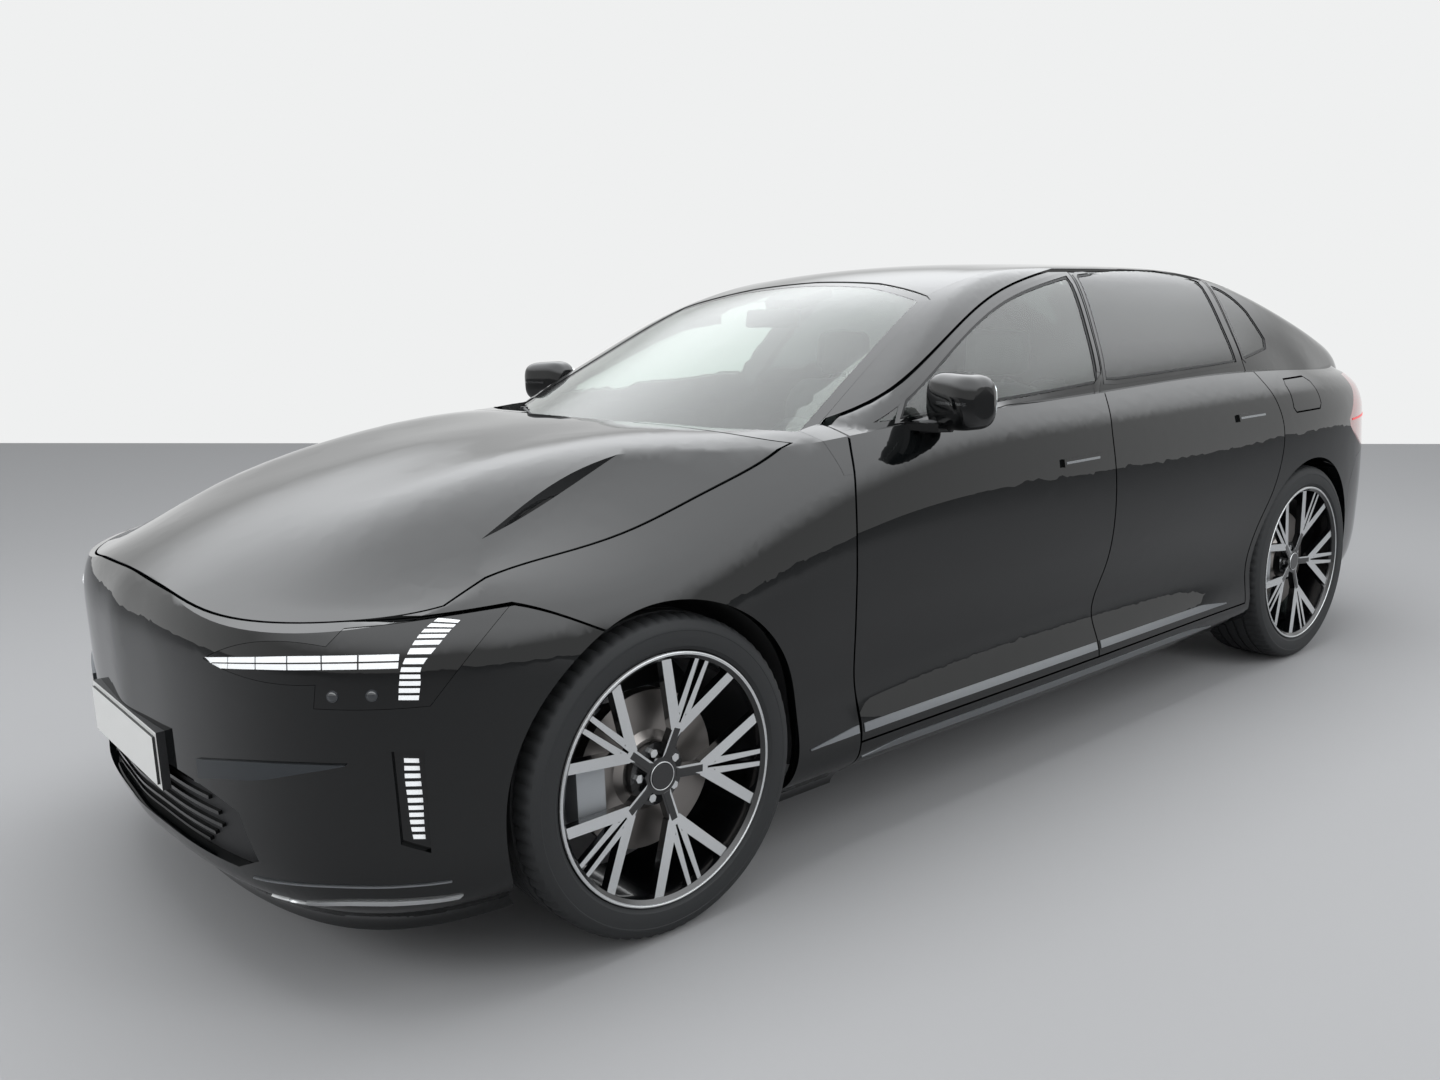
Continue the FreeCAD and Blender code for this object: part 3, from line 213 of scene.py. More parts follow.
def dress(names, material):
    """Gives CAD nodes one finish and smooth normals that break only at real edges."""
    for name in names:
        panel = nodes[name]
        panel.data.materials.clear()
        panel.data.materials.append(material)
        for face in panel.data.polygons:
            face.use_smooth = True
        weld = panel.modifiers.new("weld", "WELD")
        weld.merge_threshold = WELD_WITHIN
        split = panel.modifiers.new("edges", "EDGE_SPLIT")
        split.split_angle = math.radians(EDGE_ANGLE)
        weight = panel.modifiers.new("normals", "WEIGHTED_NORMAL")
        weight.mode = "FACE_AREA_WITH_ANGLE"
        weight.weight = 50


sides = ("left", "right")
OUTWARD = {"left": 1, "right": -1}
corners = ("front_left", "front_right", "rear_left", "rear_right")
dress(["bonnet", "roof", "tailgate", "front_bumper", "rear_bumper", "charge_flap"], paint)
for side in sides:
    dress(["body_side_" + side, "fender_" + side, "door_front_" + side, "door_rear_" + side], paint)
    dress(["mirror_" + side, "headlamp_" + side], acrylic)
    dress(["door_glass_front_" + side], screen_glass)
    dress(["door_glass_rear_" + side], privacy_glass)
    dress(["knuckle_" + side], cast_alloy)
dress(["windscreen"], screen_glass)
dress(["rear_screen", "quarter_glass"], privacy_glass)
dress(["tail_lamps"], lens_red)
dress(["grille", "wipers"], grained_black)
dress(["wheel_liners"], liner_felt)
dress(["front_structure", "floor_pan"], dipped_steel)
dress(["battery_pack", "front_suspension", "rear_suspension"], cast_alloy)
dress(["front_seats", "rear_bench"], leather)
dress(["dashboard", "steering_wheel"], foam_skin)
dress(["front_plate"], number_plate)
for corner in corners:
    dress(["rim_" + corner], rim_enamel)
    dress(["tyre_" + corner], rubber)
    dress(["brake_disc_" + corner], iron)
print("dressed", len([n for n in nodes.values() if n.data.materials]), "nodes")

# %% [markdown]
# Some nodes carry two finishes. A spoke is enamelled black first and then cut on a lathe, so only
# the faces that look outwards are bare metal. The brake caliper is one casting with its carrier,
# but is painted. The plate is white sheet in a black holder.
# %% Finishes by face


def by_face(name, finishes, choose):
    """Gives each triangle the finish that `choose` picks from its centre and its normal."""
    panel = nodes[name]
    panel.data.materials.clear()
    for material in finishes:
        panel.data.materials.append(material)
    turn = panel.matrix_world.to_3x3()
    for face in panel.data.polygons:
        face.material_index = choose(panel.matrix_world @ face.center, turn @ face.normal)


bpy.context.view_layer.update()
AXLES = {"front": -1.6, "rear": 1.502}
HUB_HEIGHT = 0.3775
TRACK_HALF = 0.83
LATHE_DEPTH = 0.078     # from the middle of the tyre out to where the lathe has cut
LATHE_LEAN = 0.93       # how squarely a cut face looks outwards: the cosine of its lean
HUB_POCKET = 0.08       # the lathe leaves the middle of the rim black
CALIPER_AHEAD = 0.135
CALIPER_OUT = 0.76
PLATE_HALF_WIDTH, PLATE_HALF_HEIGHT, PLATE_Z = 0.2605, 0.056, 0.479
for corner in corners:
    end, side = corner.split("_")
    out, axle = OUTWARD[side], AXLES[end]
    by_face("rim_" + corner, (rim_enamel, cut_alloy), lambda centre, normal: int(
        normal.x * out > LATHE_LEAN and abs(centre.x) > TRACK_HALF + LATHE_DEPTH
        and math.hypot(centre.y - axle, centre.z - HUB_HEIGHT) > HUB_POCKET))
for name, axle in (("knuckle_left", AXLES["front"]), ("knuckle_right", AXLES["front"]),
                   ("rear_suspension", AXLES["rear"])):
    by_face(name, (cast_alloy, caliper_paint), lambda centre, normal: int(
        centre.y < axle - CALIPER_AHEAD and abs(centre.x) > CALIPER_OUT))
by_face("front_plate", (grained_black, number_plate), lambda centre, normal: int(
    abs(centre.x) < PLATE_HALF_WIDTH and normal.y < -0.9
    and abs(centre.z - PLATE_Z) < PLATE_HALF_HEIGHT))
cut_faces = sum(face.material_index for face in nodes["rim_front_left"].data.polygons)
print("faces cut bright on one rim:", cut_faces)

# %% [markdown]
# ## Tools for pieces that lie on the skin
# Lamps' light guides, trim strips and seals follow the curved skin. Each starts as a flat grid. Its
# points go between two guide lines, drop on to the nearest skin, rise by a small lift, and the
# sheet is then thickened.
# %% Guide lines, grids on the skin, and finished pieces


def skin(*names):
    """A search tree of the CAD nodes' triangles, in the car's frame."""
    shell = bmesh.new()
    for name in names:
        copy = nodes[name].data.copy()
        copy.transform(nodes[name].matrix_world)
        shell.from_mesh(copy)
        bpy.data.meshes.remove(copy)
    tree = BVHTree.FromBMesh(shell)
    shell.free()
    return tree


def spread(start, stop, count):
    """Evenly spaced values from start to stop."""
    return [start + (stop - start) * k / (count - 1) for k in range(count)]


def curve(points, count):
    """Evenly many points on a smooth line through the given ones."""
    known = [Vector(p) for p in points]
    known = [2 * known[0] - known[1]] + known + [2 * known[-1] - known[-2]]
    spans = len(known) - 3
    line = []
    for k in range(count):
        t = k / (count - 1) * spans
        i = min(int(t), spans - 1)
        t -= i
        a, b, c, d = known[i:i + 4]
        line.append(0.5 * (2 * b + (c - a) * t + (2 * a - 5 * b + 4 * c - d) * t ** 2
                           + (3 * b - a - 3 * c + d) * t ** 3))
    return line


def at(line, share):
    """The point at a share, 0 to 1, along a line of evenly numbered points."""
    t = max(0.0, min(1.0, share)) * (len(line) - 1)
    i = min(int(t), len(line) - 2)
    return line[i].lerp(line[i + 1], t - i)


def flip(points, side):
    """The points for the left side, or mirrored for the right."""
    return [Vector((OUTWARD[side] * p[0], p[1], p[2])) for p in points]


def thicken(sheet, wall):
    """Gives an open sheet a wall; `wall` says how far the copy of each point moves."""
    grown = bmesh.ops.extrude_face_region(sheet, geom=sheet.faces[:], use_keep_orig=True)
    for vert in [v for v in grown["geom"] if isinstance(v, bmesh.types.BMVert)]:
        vert.co += wall(vert)
    bmesh.ops.recalc_face_normals(sheet, faces=sheet.faces)


def pour(part, bm):
    """Adds one bmesh to another, and frees it."""
    mesh = bpy.data.meshes.new("part")
    part.to_mesh(mesh)
    part.free()
    bm.from_mesh(mesh)
    bpy.data.meshes.remove(mesh)


def patch(bm, tree, first, second, lift, thick, steps, across, span=(0.0, 1.0)):
    """A thickened sheet on the skin between two lines, over a span of their length."""
    sheet = bmesh.new()
    away = sheet.verts.layers.float_vector.new("away")
    bmesh.ops.create_grid(sheet, x_segments=steps, y_segments=across, size=0.5)
    for vert in sheet.verts:
        share = span[0] + (vert.co.x + 0.5) * (span[1] - span[0])
        aim = at(first, share).lerp(at(second, share), vert.co.y + 0.5)
        spot, normal = tree.find_nearest(aim)[:2]
        vert.co = spot + normal * lift
        vert[away] = normal * thick
    bmesh.ops.remove_doubles(sheet, verts=sheet.verts, dist=0.00001)
    thicken(sheet, lambda vert: vert[away])
    pour(sheet, bm)


def block(bm, low, high, round_by=0.0, turn=None, segments=3):
    """A box between two corners with rounded edges, turned about its own centre."""
    low, high = Vector(low), Vector(high)
    made = bmesh.ops.create_cube(bm, size=1.0)["verts"]
    size = Matrix.Diagonal((*(high - low), 1.0))
    bmesh.ops.transform(bm, matrix=size, verts=made)
    if round_by > 0:
        edges = list({edge for vert in made for edge in vert.link_edges})
        rounded = bmesh.ops.bevel(bm, geom=edges, offset=round_by, segments=segments,
                                  affect="EDGES", profile=0.5, material=-1)
        made = list(set(rounded["verts"]) | {vert for vert in made if vert.is_valid})
    place = Matrix.Translation((low + high) / 2)
    if turn is not None:
        place = place @ turn.to_4x4()
    bmesh.ops.transform(bm, matrix=place, verts=made)
    return made


def rod(bm, start, end, radius, segments=16):
    """A round bar between two points."""
    start, end = Vector(start), Vector(end)
    made = bmesh.ops.create_cone(bm, cap_ends=True, segments=segments, radius1=radius,
                                 radius2=radius, depth=(end - start).length)["verts"]
    turn = (end - start).to_track_quat("Z", "Y").to_matrix().to_4x4()
    bmesh.ops.transform(bm, matrix=Matrix.Translation((start + end) / 2) @ turn, verts=made)


def make(name, bm, material, body, sharp=32):
    """Turns the mesh into a finished piece of the car that rides a body."""
    bmesh.ops.recalc_face_normals(bm, faces=bm.faces)
    mesh = bpy.data.meshes.new(name)
    bm.to_mesh(mesh)
    bm.free()
    mesh.materials.append(material)
    for face in mesh.polygons:
        face.use_smooth = True
    mesh.set_sharp_from_angle(angle=math.radians(sharp))
    piece = bpy.data.objects.new(name, mesh)
    bpy.context.scene.collection.objects.link(piece)
    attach(piece, body)
    return piece


print("tools ready")

# %% [markdown]
# ## Front lamps
# The lamp unit is one polished black housing. A double line of six light guides runs outwards from
# near the centre and meets a ladder of twelve short guides, which leans back at its top. A second
# ladder of eleven stands low in each bumper corner. They are switched on faintly, as day lights
# are.
# %% Light guides
BAR_TOP = [(0.498, -2.439, 0.753), (0.579, -2.416, 0.765), (0.652, -2.386, 0.774),
           (0.719, -2.348, 0.781), (0.777, -2.303, 0.784), (0.826, -2.250, 0.784),
           (0.870, -2.184, 0.781)]
BAR_LOW = [(0.540, -2.429, 0.738), (0.579, -2.418, 0.742), (0.654, -2.389, 0.750),
           (0.723, -2.352, 0.755), (0.782, -2.307, 0.758), (0.831, -2.255, 0.758),
           (0.874, -2.191, 0.755)]
LADDER_IN = [(0.875, -2.198, 0.692), (0.876, -2.194, 0.726), (0.876, -2.186, 0.758),
             (0.875, -2.159, 0.797), (0.872, -2.132, 0.820), (0.867, -2.094, 0.836)]
LADDER_OUT = [(0.891, -2.164, 0.688), (0.893, -2.158, 0.722), (0.892, -2.152, 0.754),
              (0.894, -2.112, 0.792), (0.891, -2.084, 0.814), (0.886, -2.057, 0.829)]
LOW_IN = [(0.862, -2.191, 0.570), (0.861, -2.192, 0.525), (0.861, -2.190, 0.477),
          (0.861, -2.189, 0.435), (0.863, -2.185, 0.391)]
LOW_OUT = [(0.875, -2.166, 0.566), (0.874, -2.165, 0.522), (0.874, -2.164, 0.474),
           (0.873, -2.165, 0.432), (0.873, -2.165, 0.388)]
BAR_GUIDES, LADDER_RUNGS, LOW_RUNGS = 6, 12, 11
GUIDE_LIFT, GUIDE_WALL = 0.0006, 0.0016
GUIDE_GAP = 0.004       # half the dark gap between two guides, as a share of the line


def rungs(bm, tree, inner, outer, count, fill):
    """A ladder of short guides between two lines; `fill` is the lit share of each step."""
    for k in range(count):
        span = ((k + 0.08) / count, (k + 0.08 + fill) / count)
        patch(bm, tree, inner, outer, GUIDE_LIFT, GUIDE_WALL, 2, 4, span)


for side in sides:
    lamp_skin = skin("headlamp_" + side)
    guides = bmesh.new()
    top, low = curve(flip(BAR_TOP, side), 61), curve(flip(BAR_LOW, side), 61)
    upper_edge = [a.lerp(b, 0.46) for a, b in zip(top, low)]
    lower_edge = [a.lerp(b, 0.58) for a, b in zip(top, low)]
    for k in range(BAR_GUIDES):
        span = (k / BAR_GUIDES + GUIDE_GAP, (k + 1) / BAR_GUIDES - GUIDE_GAP)
        for first, second in ((top, upper_edge), (lower_edge, low)):
            patch(guides, lamp_skin, first, second, GUIDE_LIFT, GUIDE_WALL, 5, 1, span)
    for inner, outer, count, fill in ((LADDER_IN, LADDER_OUT, LADDER_RUNGS, 0.62),
                                      (LOW_IN, LOW_OUT, LOW_RUNGS, 0.55)):
        rungs(guides, lamp_skin, curve(flip(inner, side), 41), curve(flip(outer, side), 41), count,
              fill)
    make("light_guides_" + side, guides, light_guide, "body")
print("light guides:", 2 * BAR_GUIDES + LADDER_RUNGS + LOW_RUNGS, "a side")

# %% [markdown]
# The lens of each main lamp looks out through the lower part of the housing: two projector lenses a
# side.
# %% Projector lenses
PROJECTORS = [(0.800, -2.300, 0.705), (0.846, -2.238, 0.705)]
for side in sides:
    lamp_skin = skin("headlamp_" + side)
    lenses = bmesh.new()
    for spot in flip(PROJECTORS, side):
        place, normal = lamp_skin.find_nearest(spot)[:2]
        turn = normal.to_track_quat("Z", "Y").to_matrix().to_4x4()
        collar = bmesh.ops.create_cone(lenses, cap_ends=True, segments=28, radius1=0.0125,
                                       radius2=0.0115, depth=0.003)
        bmesh.ops.transform(lenses, matrix=Matrix.Translation(place + normal * 0.0012) @ turn,
                            verts=collar["verts"])
        dome = bmesh.ops.create_uvsphere(lenses, u_segments=24, v_segments=12, radius=0.0095)
        squash = (Matrix.Translation(place + normal * 0.0024) @ turn
                  @ Matrix.Diagonal((1, 1, 0.35, 1)))
        bmesh.ops.transform(lenses, matrix=squash, verts=dome["verts"])
    make("projector_lenses_" + side, lenses, projector_glass, "body")
print("projectors", 2 * len(PROJECTORS))

# %% [markdown]
# ## Nose trim
# A satin strip sits low on each corner of the splitter. Above it runs a painted highlight: a thin
# satin strip that stands for the bright edge of a step in the splitter. A slim blade points
# outwards from the intake. Each is a sheet laid on the bumper between two guide lines, and only its
# lines, its wall and its finish differ.
# %% Splitter strips, painted edge highlights and blades
STRIP_TOP = [(0.560, -2.372, 0.236), (0.660, -2.341, 0.256), (0.770, -2.294, 0.267),
             (0.842, -2.207, 0.264), (0.886, -2.099, 0.255)]
STRIP_LOW = [(0.560, -2.368, 0.226), (0.660, -2.338, 0.245), (0.766, -2.293, 0.255),
             (0.838, -2.206, 0.252), (0.880, -2.105, 0.246)]
# Painted highlight: the bright edge of a step in the splitter, drawn as a thin satin strip.
SPLITTER_HIGHLIGHT_LINE = [(0.565, -2.408, 0.284), (0.691, -2.360, 0.297), (0.776, -2.301, 0.303),
            (0.848, -2.217, 0.300), (0.891, -2.124, 0.295)]
BLADE_TOP = [(0.430, -2.454, 0.521), (0.551, -2.427, 0.543), (0.647, -2.393, 0.557),
             (0.738, -2.344, 0.565), (0.806, -2.287, 0.566)]
BLADE_LOW = [(0.430, -2.452, 0.478), (0.529, -2.433, 0.499), (0.634, -2.399, 0.517),
             (0.734, -2.346, 0.545), (0.806, -2.287, 0.564)]
SPLITTER_HIGHLIGHT_TOP = [(x, y, z + 0.002) for x, y, z in SPLITTER_HIGHLIGHT_LINE]
SPLITTER_HIGHLIGHT_LOW = [(x, y, z - 0.002) for x, y, z in SPLITTER_HIGHLIGHT_LINE]
TRIM_LIFT = 0.0002
NOSE_TRIM = (("splitter_strip_", STRIP_TOP, STRIP_LOW, 0.004, 32, 2, bright_satin),
             ("splitter_edge_highlight_", SPLITTER_HIGHLIGHT_TOP, SPLITTER_HIGHLIGHT_LOW, 0.004, 32, 1, anodised),
             ("bumper_blade_", BLADE_TOP, BLADE_LOW, 0.006, 24, 2, anodised_dark))
bumper_skin = skin("front_bumper")
for side in sides:
    for name, top, low, wall, steps, across, finish in NOSE_TRIM:
        band = bmesh.new()
        patch(band, bumper_skin, curve(flip(top, side), steps + 1),
              curve(flip(low, side), steps + 1), TRIM_LIFT, wall, steps, across)
        make(name + side, band, finish, "body")
print("strips, lips and blades:", len(NOSE_TRIM) * len(sides))

# %% [markdown]
# Slats close the intake under the number plate. They lie on the grille's own face and stop before
# its ends, where it turns away into the corner. Their places are found by looking at the grille
# from ahead.
# %% Intake slats
AHEAD = -3.0
NOSE = -2.6
SLAT_HEIGHTS = (0.318, 0.344, 0.370, 0.396, 0.422, 0.448)
SLAT_HALF = 0.004
INTAKE_MIDDLE = 0.38


def from_front(tree, x, z, reach=2.0):
    """The point that a line from ahead of the car at (x, z) meets first."""
    spot = tree.ray_cast(Vector((x, AHEAD, z)), Vector((0, 1, 0)), reach)[0]
    return spot if spot is not None else tree.find_nearest(Vector((x, NOSE, z)))[0]


grille_skin = skin("grille")
slats = bmesh.new()
for height in SLAT_HEIGHTS:
    half = 0.47 - 0.10 * abs(height - INTAKE_MIDDLE) / 0.07
    upper, lower = ([from_front(grille_skin, x, z) - Vector((0, 0.001, 0))
                     for x in spread(-half, half, 41)]
                    for z in (height + SLAT_HALF, height - SLAT_HALF))
    patch(slats, grille_skin, upper, lower, 0.0003, 0.009, 40, 1)
make("intake_slats", slats, acrylic, "body")
print("slats ready")

# %% [markdown]
# ## Side trim
# Two satin strips run low along each flank. The upper one is in three lengths, on the fender and
# the two doors, and the lower one is on the sill. They are found on the skin by looking at it from
# the side.
# %% Satin strips along the sill
BESIDE = 1.4
WAIST = 1.1
POINT_LENGTH = 0.16     # of the taper at a strip's pointed end
POINT_SHARE = 0.15      # of the strip's height that is left at the point


def side_hit(tree, side, y, z):
    """The point that a line from beside the car at (y, z) meets first, or None."""
    out = OUTWARD[side]
    return tree.ray_cast(Vector((BESIDE * out, y, z)), Vector((-out, 0, 0)), 1.2)[0]


def from_side(tree, side, y, z):
    """That point, or the nearest one to about where the skin is."""
    spot = side_hit(tree, side, y, z)
    skin_x = (0.95 if z < WAIST else 0.87 - 0.66 * (z - WAIST)) * OUTWARD[side]
    return spot if spot is not None else tree.find_nearest(Vector((skin_x, y, z)))[0]


def side_strip(name, node, body, side, start, stop, low, high, taper):
    """A strip between two heights, with a pointed end where `taper` names it."""
    tree = skin(node)
    top, base = [], []
    for y in spread(start, stop, 25):
        near = min((y - start) / POINT_LENGTH if "start" in taper else 1,
                   (stop - y) / POINT_LENGTH if "stop" in taper else 1, 1)
        height = (high - low) * (POINT_SHARE + (1 - POINT_SHARE) * near)
        top.append(from_side(tree, side, y, low + height))
        base.append(from_side(tree, side, y, low))
    strip = bmesh.new()
    patch(strip, tree, top, base, TRIM_LIFT, 0.0028, 40, 2)
    make(name, strip, anodised, body)


for side in sides:
    front_door, rear_door = "door_front_" + side, "door_rear_" + side
    side_strip("fender_strip_" + side, "fender_" + side, "body", side, -1.150, -0.972, 0.322,
               0.343, ("start",))
    side_strip("front_door_strip_" + side, front_door, front_door, side, -0.952, 0.112, 0.320,
               0.343, ())
    side_strip("rear_door_strip_" + side, rear_door, rear_door, side, 0.132, 0.925, 0.320,
               0.343, ("stop",))
    side_strip("sill_strip_" + side, "body_side_" + side, "body", side, -0.950, 0.850, 0.246,
               0.268, ("start", "stop"))
print("side strips ready")

# %% [markdown]
# ## Window surrounds
# Each window sits in a gloss-black frame about 13 mm wide, and a rubber seal shows as a thin matt
# line where the frame meets the glass. The edge of the opening is felt out on the door itself: from
# a middle point, a spoke is halved again and again between where a line from the side passes
# through the opening and where it meets the door.
# %% Find the edge of a window opening
OPENINGS = {"front": ("door_front_", (0.000, 1.270)), "rear": ("door_rear_", (0.720, 1.330)),
            "quarter": ("body_side_", (1.350, 1.290))}
SPOKES = 120
SPOKE_STEP = 0.02
LONGEST_SPOKE = 0.75
HALVINGS = 9


def opening(tree, side, middle):
    """The closed edge of the window opening round a middle point, in side view (y, z)."""
    middle = Vector(middle)
    edge = []
    for k in range(SPOKES):
        turn = 2 * math.pi * k / SPOKES
        heading = Vector((math.cos(turn), math.sin(turn)))
        free, met = 0.0, SPOKE_STEP
        while met < LONGEST_SPOKE and side_hit(tree, side, *(middle + heading * met)) is None:
            free, met = met, met + SPOKE_STEP
        for _ in range(HALVINGS):
            half = (free + met) / 2
            if side_hit(tree, side, *(middle + heading * half)) is None:
                free = half
            else:
                met = half
        edge.append(middle + heading * met)
    return edge


def offset(edge, by):
    """The closed outline moved outwards by a distance, in its own plane."""
    area = sum(a[0] * b[1] - b[0] * a[1] for a, b in zip(edge, edge[1:] + edge[:1]))
    by = by if area > 0 else -by
    moved = []
    for k, point in enumerate(edge):
        before, here, after = Vector(edge[k - 1]), Vector(point), Vector(edge[(k + 1) % len(edge)])
        one, two = (here - before).normalized(), (after - here).normalized()
        bend = (Vector((one.y, -one.x)) + Vector((two.y, -two.x))).normalized()
        moved.append(here + bend * by / max(0.5, bend.dot(Vector((one.y, -one.x)))))
    return moved


left_edges = {part: opening(skin(node + "left"), "left", middle)
              for part, (node, middle) in OPENINGS.items()}
for part, edge in left_edges.items():
    ys, zs = [round(p.x, 3) for p in edge], [round(p.y, 3) for p in edge]
    print(part, "opening: y", min(ys), max(ys), "z", min(zs), max(zs))

# %% [markdown]
# The frame and the seal are closed bands between two offsets of that edge. The car is the same on
# both sides, so the left opening serves for the right one too.
# %% Frames and seals round the side windows
BAND_LIFT = 0.0001


def ring(name, node, body, side, edge, inner, outer, thick, material):
    """A closed band on the skin between two offsets of an outline in side view."""
    tree = skin(node)
    band = bmesh.new()
    lines = []
    for by in (inner, outer):
        loop = offset(edge, by)
        loop.append(loop[0])
        lines.append([from_side(tree, side, p.x, p.y) for p in loop])
    patch(band, tree, lines[1], lines[0], BAND_LIFT, thick, len(lines[0]) - 1, 1)
    make(name, band, material, body)


for side in sides:
    for part, (node, _) in OPENINGS.items():
        carrier = "body" if part == "quarter" else node + side
        pane = "quarter_glass" if part == "quarter" else "door_glass_%s_%s" % (part, side)
        edge = left_edges[part]
        ring("%s_window_frame_%s" % (part, side), node + side, carrier, side, edge, 0.0010, 0.013,
             0.0015, acrylic)
        ring("%s_window_seal_%s" % (part, side), pane, carrier, side, edge, -0.008, -0.0015,
             0.0018, seal_rubber)
print("window frames ready")

# %% [markdown]
# ## Windscreen
# A black ceramic band is fired on to the edge of the windscreen to hide the glue. Behind the
# mirror, the cameras and the rain sensor sit in a housing. The rear screen has the same band, a
# little narrower.
# %% Ceramic bands and the sensor housing
SCREEN_EDGE = [(0.0, -1.172), (0.400, -1.150), (0.650, -1.085), (0.758, -1.008), (0.592, -0.285),
               (0.560, -0.262), (0.300, -0.196), (0.0, -0.178)]
TAIL_EDGE = [(0.0, 1.112), (0.476, 1.112), (0.505, 1.300), (0.536, 1.700), (0.550, 1.958),
             (0.518, 2.106), (0.300, 2.148), (0.0, 2.158)]
ABOVE = 2.0
SCREEN_HEIGHT = 1.3
BAND_EDGE = -0.002      # from the edge of the glass to the band's outer line


def from_above(tree, x, y):
    """The point that a line from above at (x, y) meets first."""
    spot = tree.ray_cast(Vector((x, y, ABOVE)), Vector((0, 0, -1)), 2.0)[0]
    return spot if spot is not None else tree.find_nearest(Vector((x, y, SCREEN_HEIGHT)))[0]


def ceramic_band(name, node, body, half_edge, inner):
    """A closed black band inside the edge of a screen; the edge's left half is given."""
    tree = skin(node)
    edge = list(half_edge) + [(-x, y) for x, y in reversed(half_edge) if x > 0]
    lines = []
    for by in (inner, BAND_EDGE):
        loop = offset(edge, by)
        line = []
        for a, b in zip(loop, loop[1:] + loop[:1]):
            line += [a.lerp(b, k / 12) for k in range(12)]
        line.append(line[0])
        lines.append([from_above(tree, p.x, p.y) for p in line])
    band = bmesh.new()
    patch(band, tree, lines[1], lines[0], BAND_LIFT, 0.0004, len(lines[0]) - 1, 2)
    make(name, band, acrylic, body)


ceramic_band("windscreen_band", "windscreen", "body", SCREEN_EDGE, -0.038)
ceramic_band("rear_screen_band", "rear_screen", "tailgate", TAIL_EDGE, -0.030)
screen_skin = skin("windscreen")
housing = bmesh.new()
upper = [from_above(screen_skin, x, -0.225) for x in spread(-0.115, 0.115, 11)]
lower = [from_above(screen_skin, x, -0.345) for x in spread(-0.085, 0.085, 11)]
patch(housing, screen_skin, upper, lower, -0.0085, -0.030, 10, 8)
make("sensor_housing", housing, grained_black, "body")
inner_mirror = bmesh.new()
block(inner_mirror, (-0.125, -0.395, 1.345), (0.125, -0.372, 1.405), 0.009,
      Matrix.Rotation(math.radians(-12), 3, "X"))
rod(inner_mirror, (0, -0.372, 1.385), (0, -0.325, 1.412), 0.009)
make("inner_mirror", inner_mirror, grained_black, "body")
print("windscreen ready")

# %% [markdown]
# ## Wipers
# Each wiper is an arm from a pivot at the cowl, and a blade that rests on the glass. They stand for
# the plain strips of the CAD model, and ride the body, since wipers are small controls without a
# joint.
# %% Arms and blades
WIPER_LINES = (((-0.050, -1.160), (0.560, -1.084), (0.600, -1.092)),
               ((-0.630, -1.092), (-0.100, -1.131), (-0.640, -1.106)))
BLADE_WIDTH = 0.009
wipers = bmesh.new()
for tip, heel, pivot in WIPER_LINES:
    front = [from_above(screen_skin, x, y)
             for x, y in zip(spread(tip[0], heel[0], 21), spread(tip[1], heel[1], 21))]
    back = [from_above(screen_skin, p.x, p.y + BLADE_WIDTH) for p in front]
    patch(wipers, screen_skin, front, back, 0.0005, 0.010, 20, 1)
    middle = front[10] + Vector((0, 0.004, 0.017))
    foot = from_above(screen_skin, pivot[0], pivot[1] + 0.01) + Vector((0, 0, 0.008))
    rod(wipers, middle, foot, 0.0055)
    rod(wipers, foot + Vector((0, 0, -0.012)), foot + Vector((0, 0, 0.006)), 0.013, 24)
    block(wipers, middle - Vector((0.022, 0.007, 0.010)), middle + Vector((0.022, 0.007, 0.004)),
          0.002)
wiper_set = make("wiper_arms_and_blades", wipers, grained_black, "body")
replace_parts(wiper_set, "wipers")
print("wipers ready")

# %% [markdown]
# ## Door mirrors and handles
# The mirror glass is a rounded plate in the rear of the housing, with a thin turn signal round its
# front. Its outline is a squared ellipse: a circle whose points are pushed out towards the corners.
# %% Mirror glass, turn signals and feet
MIRROR_GLASS_HALF = (0.078, 0.050)
MIRROR_SQUARING = 0.55
for side in sides:
    out = OUTWARD[side]
    plate = bmesh.new()
    for vert in bmesh.ops.create_circle(plate, cap_ends=True, segments=48, radius=1.0)["verts"]:
        angle = math.atan2(vert.co.y, vert.co.x)
        x, z = (half * math.copysign(abs(share) ** MIRROR_SQUARING, share)
                for half, share in zip(MIRROR_GLASS_HALF, (math.cos(angle), math.sin(angle))))
        vert.co = Vector((x, 0, z))
    thicken(plate, lambda vert: Vector((0, 0.020, 0)))
    place = Matrix.Translation((out * 0.997, -0.598, 1.162))
    tilt = Matrix.Rotation(math.radians(-14 * out), 4, "Z")
    bmesh.ops.transform(plate, matrix=place @ tilt, verts=plate.verts)
    make("mirror_glass_" + side, plate, mirror_silver, "door_front_" + side)
    mirror_skin = skin("mirror_" + side)
    signal = bmesh.new()
    upper, lower = ([from_front(mirror_skin, out * x, z, 3.0) for x in spread(0.955, 1.065, 11)]
                    for z in (1.163, 1.156))
    patch(signal, mirror_skin, upper, lower, TRIM_LIFT, 0.0008, 20, 1)
    make("mirror_signal_" + side, signal, lens_clear, "door_front_" + side)
    foot = bmesh.new()
    rod(foot, (out * 0.985, -0.665, 1.098), (out * 0.900, -0.690, 1.094), 0.017, 24)
    make("mirror_foot_" + side, foot, grained_black, "door_front_" + side)
print("mirrors ready")

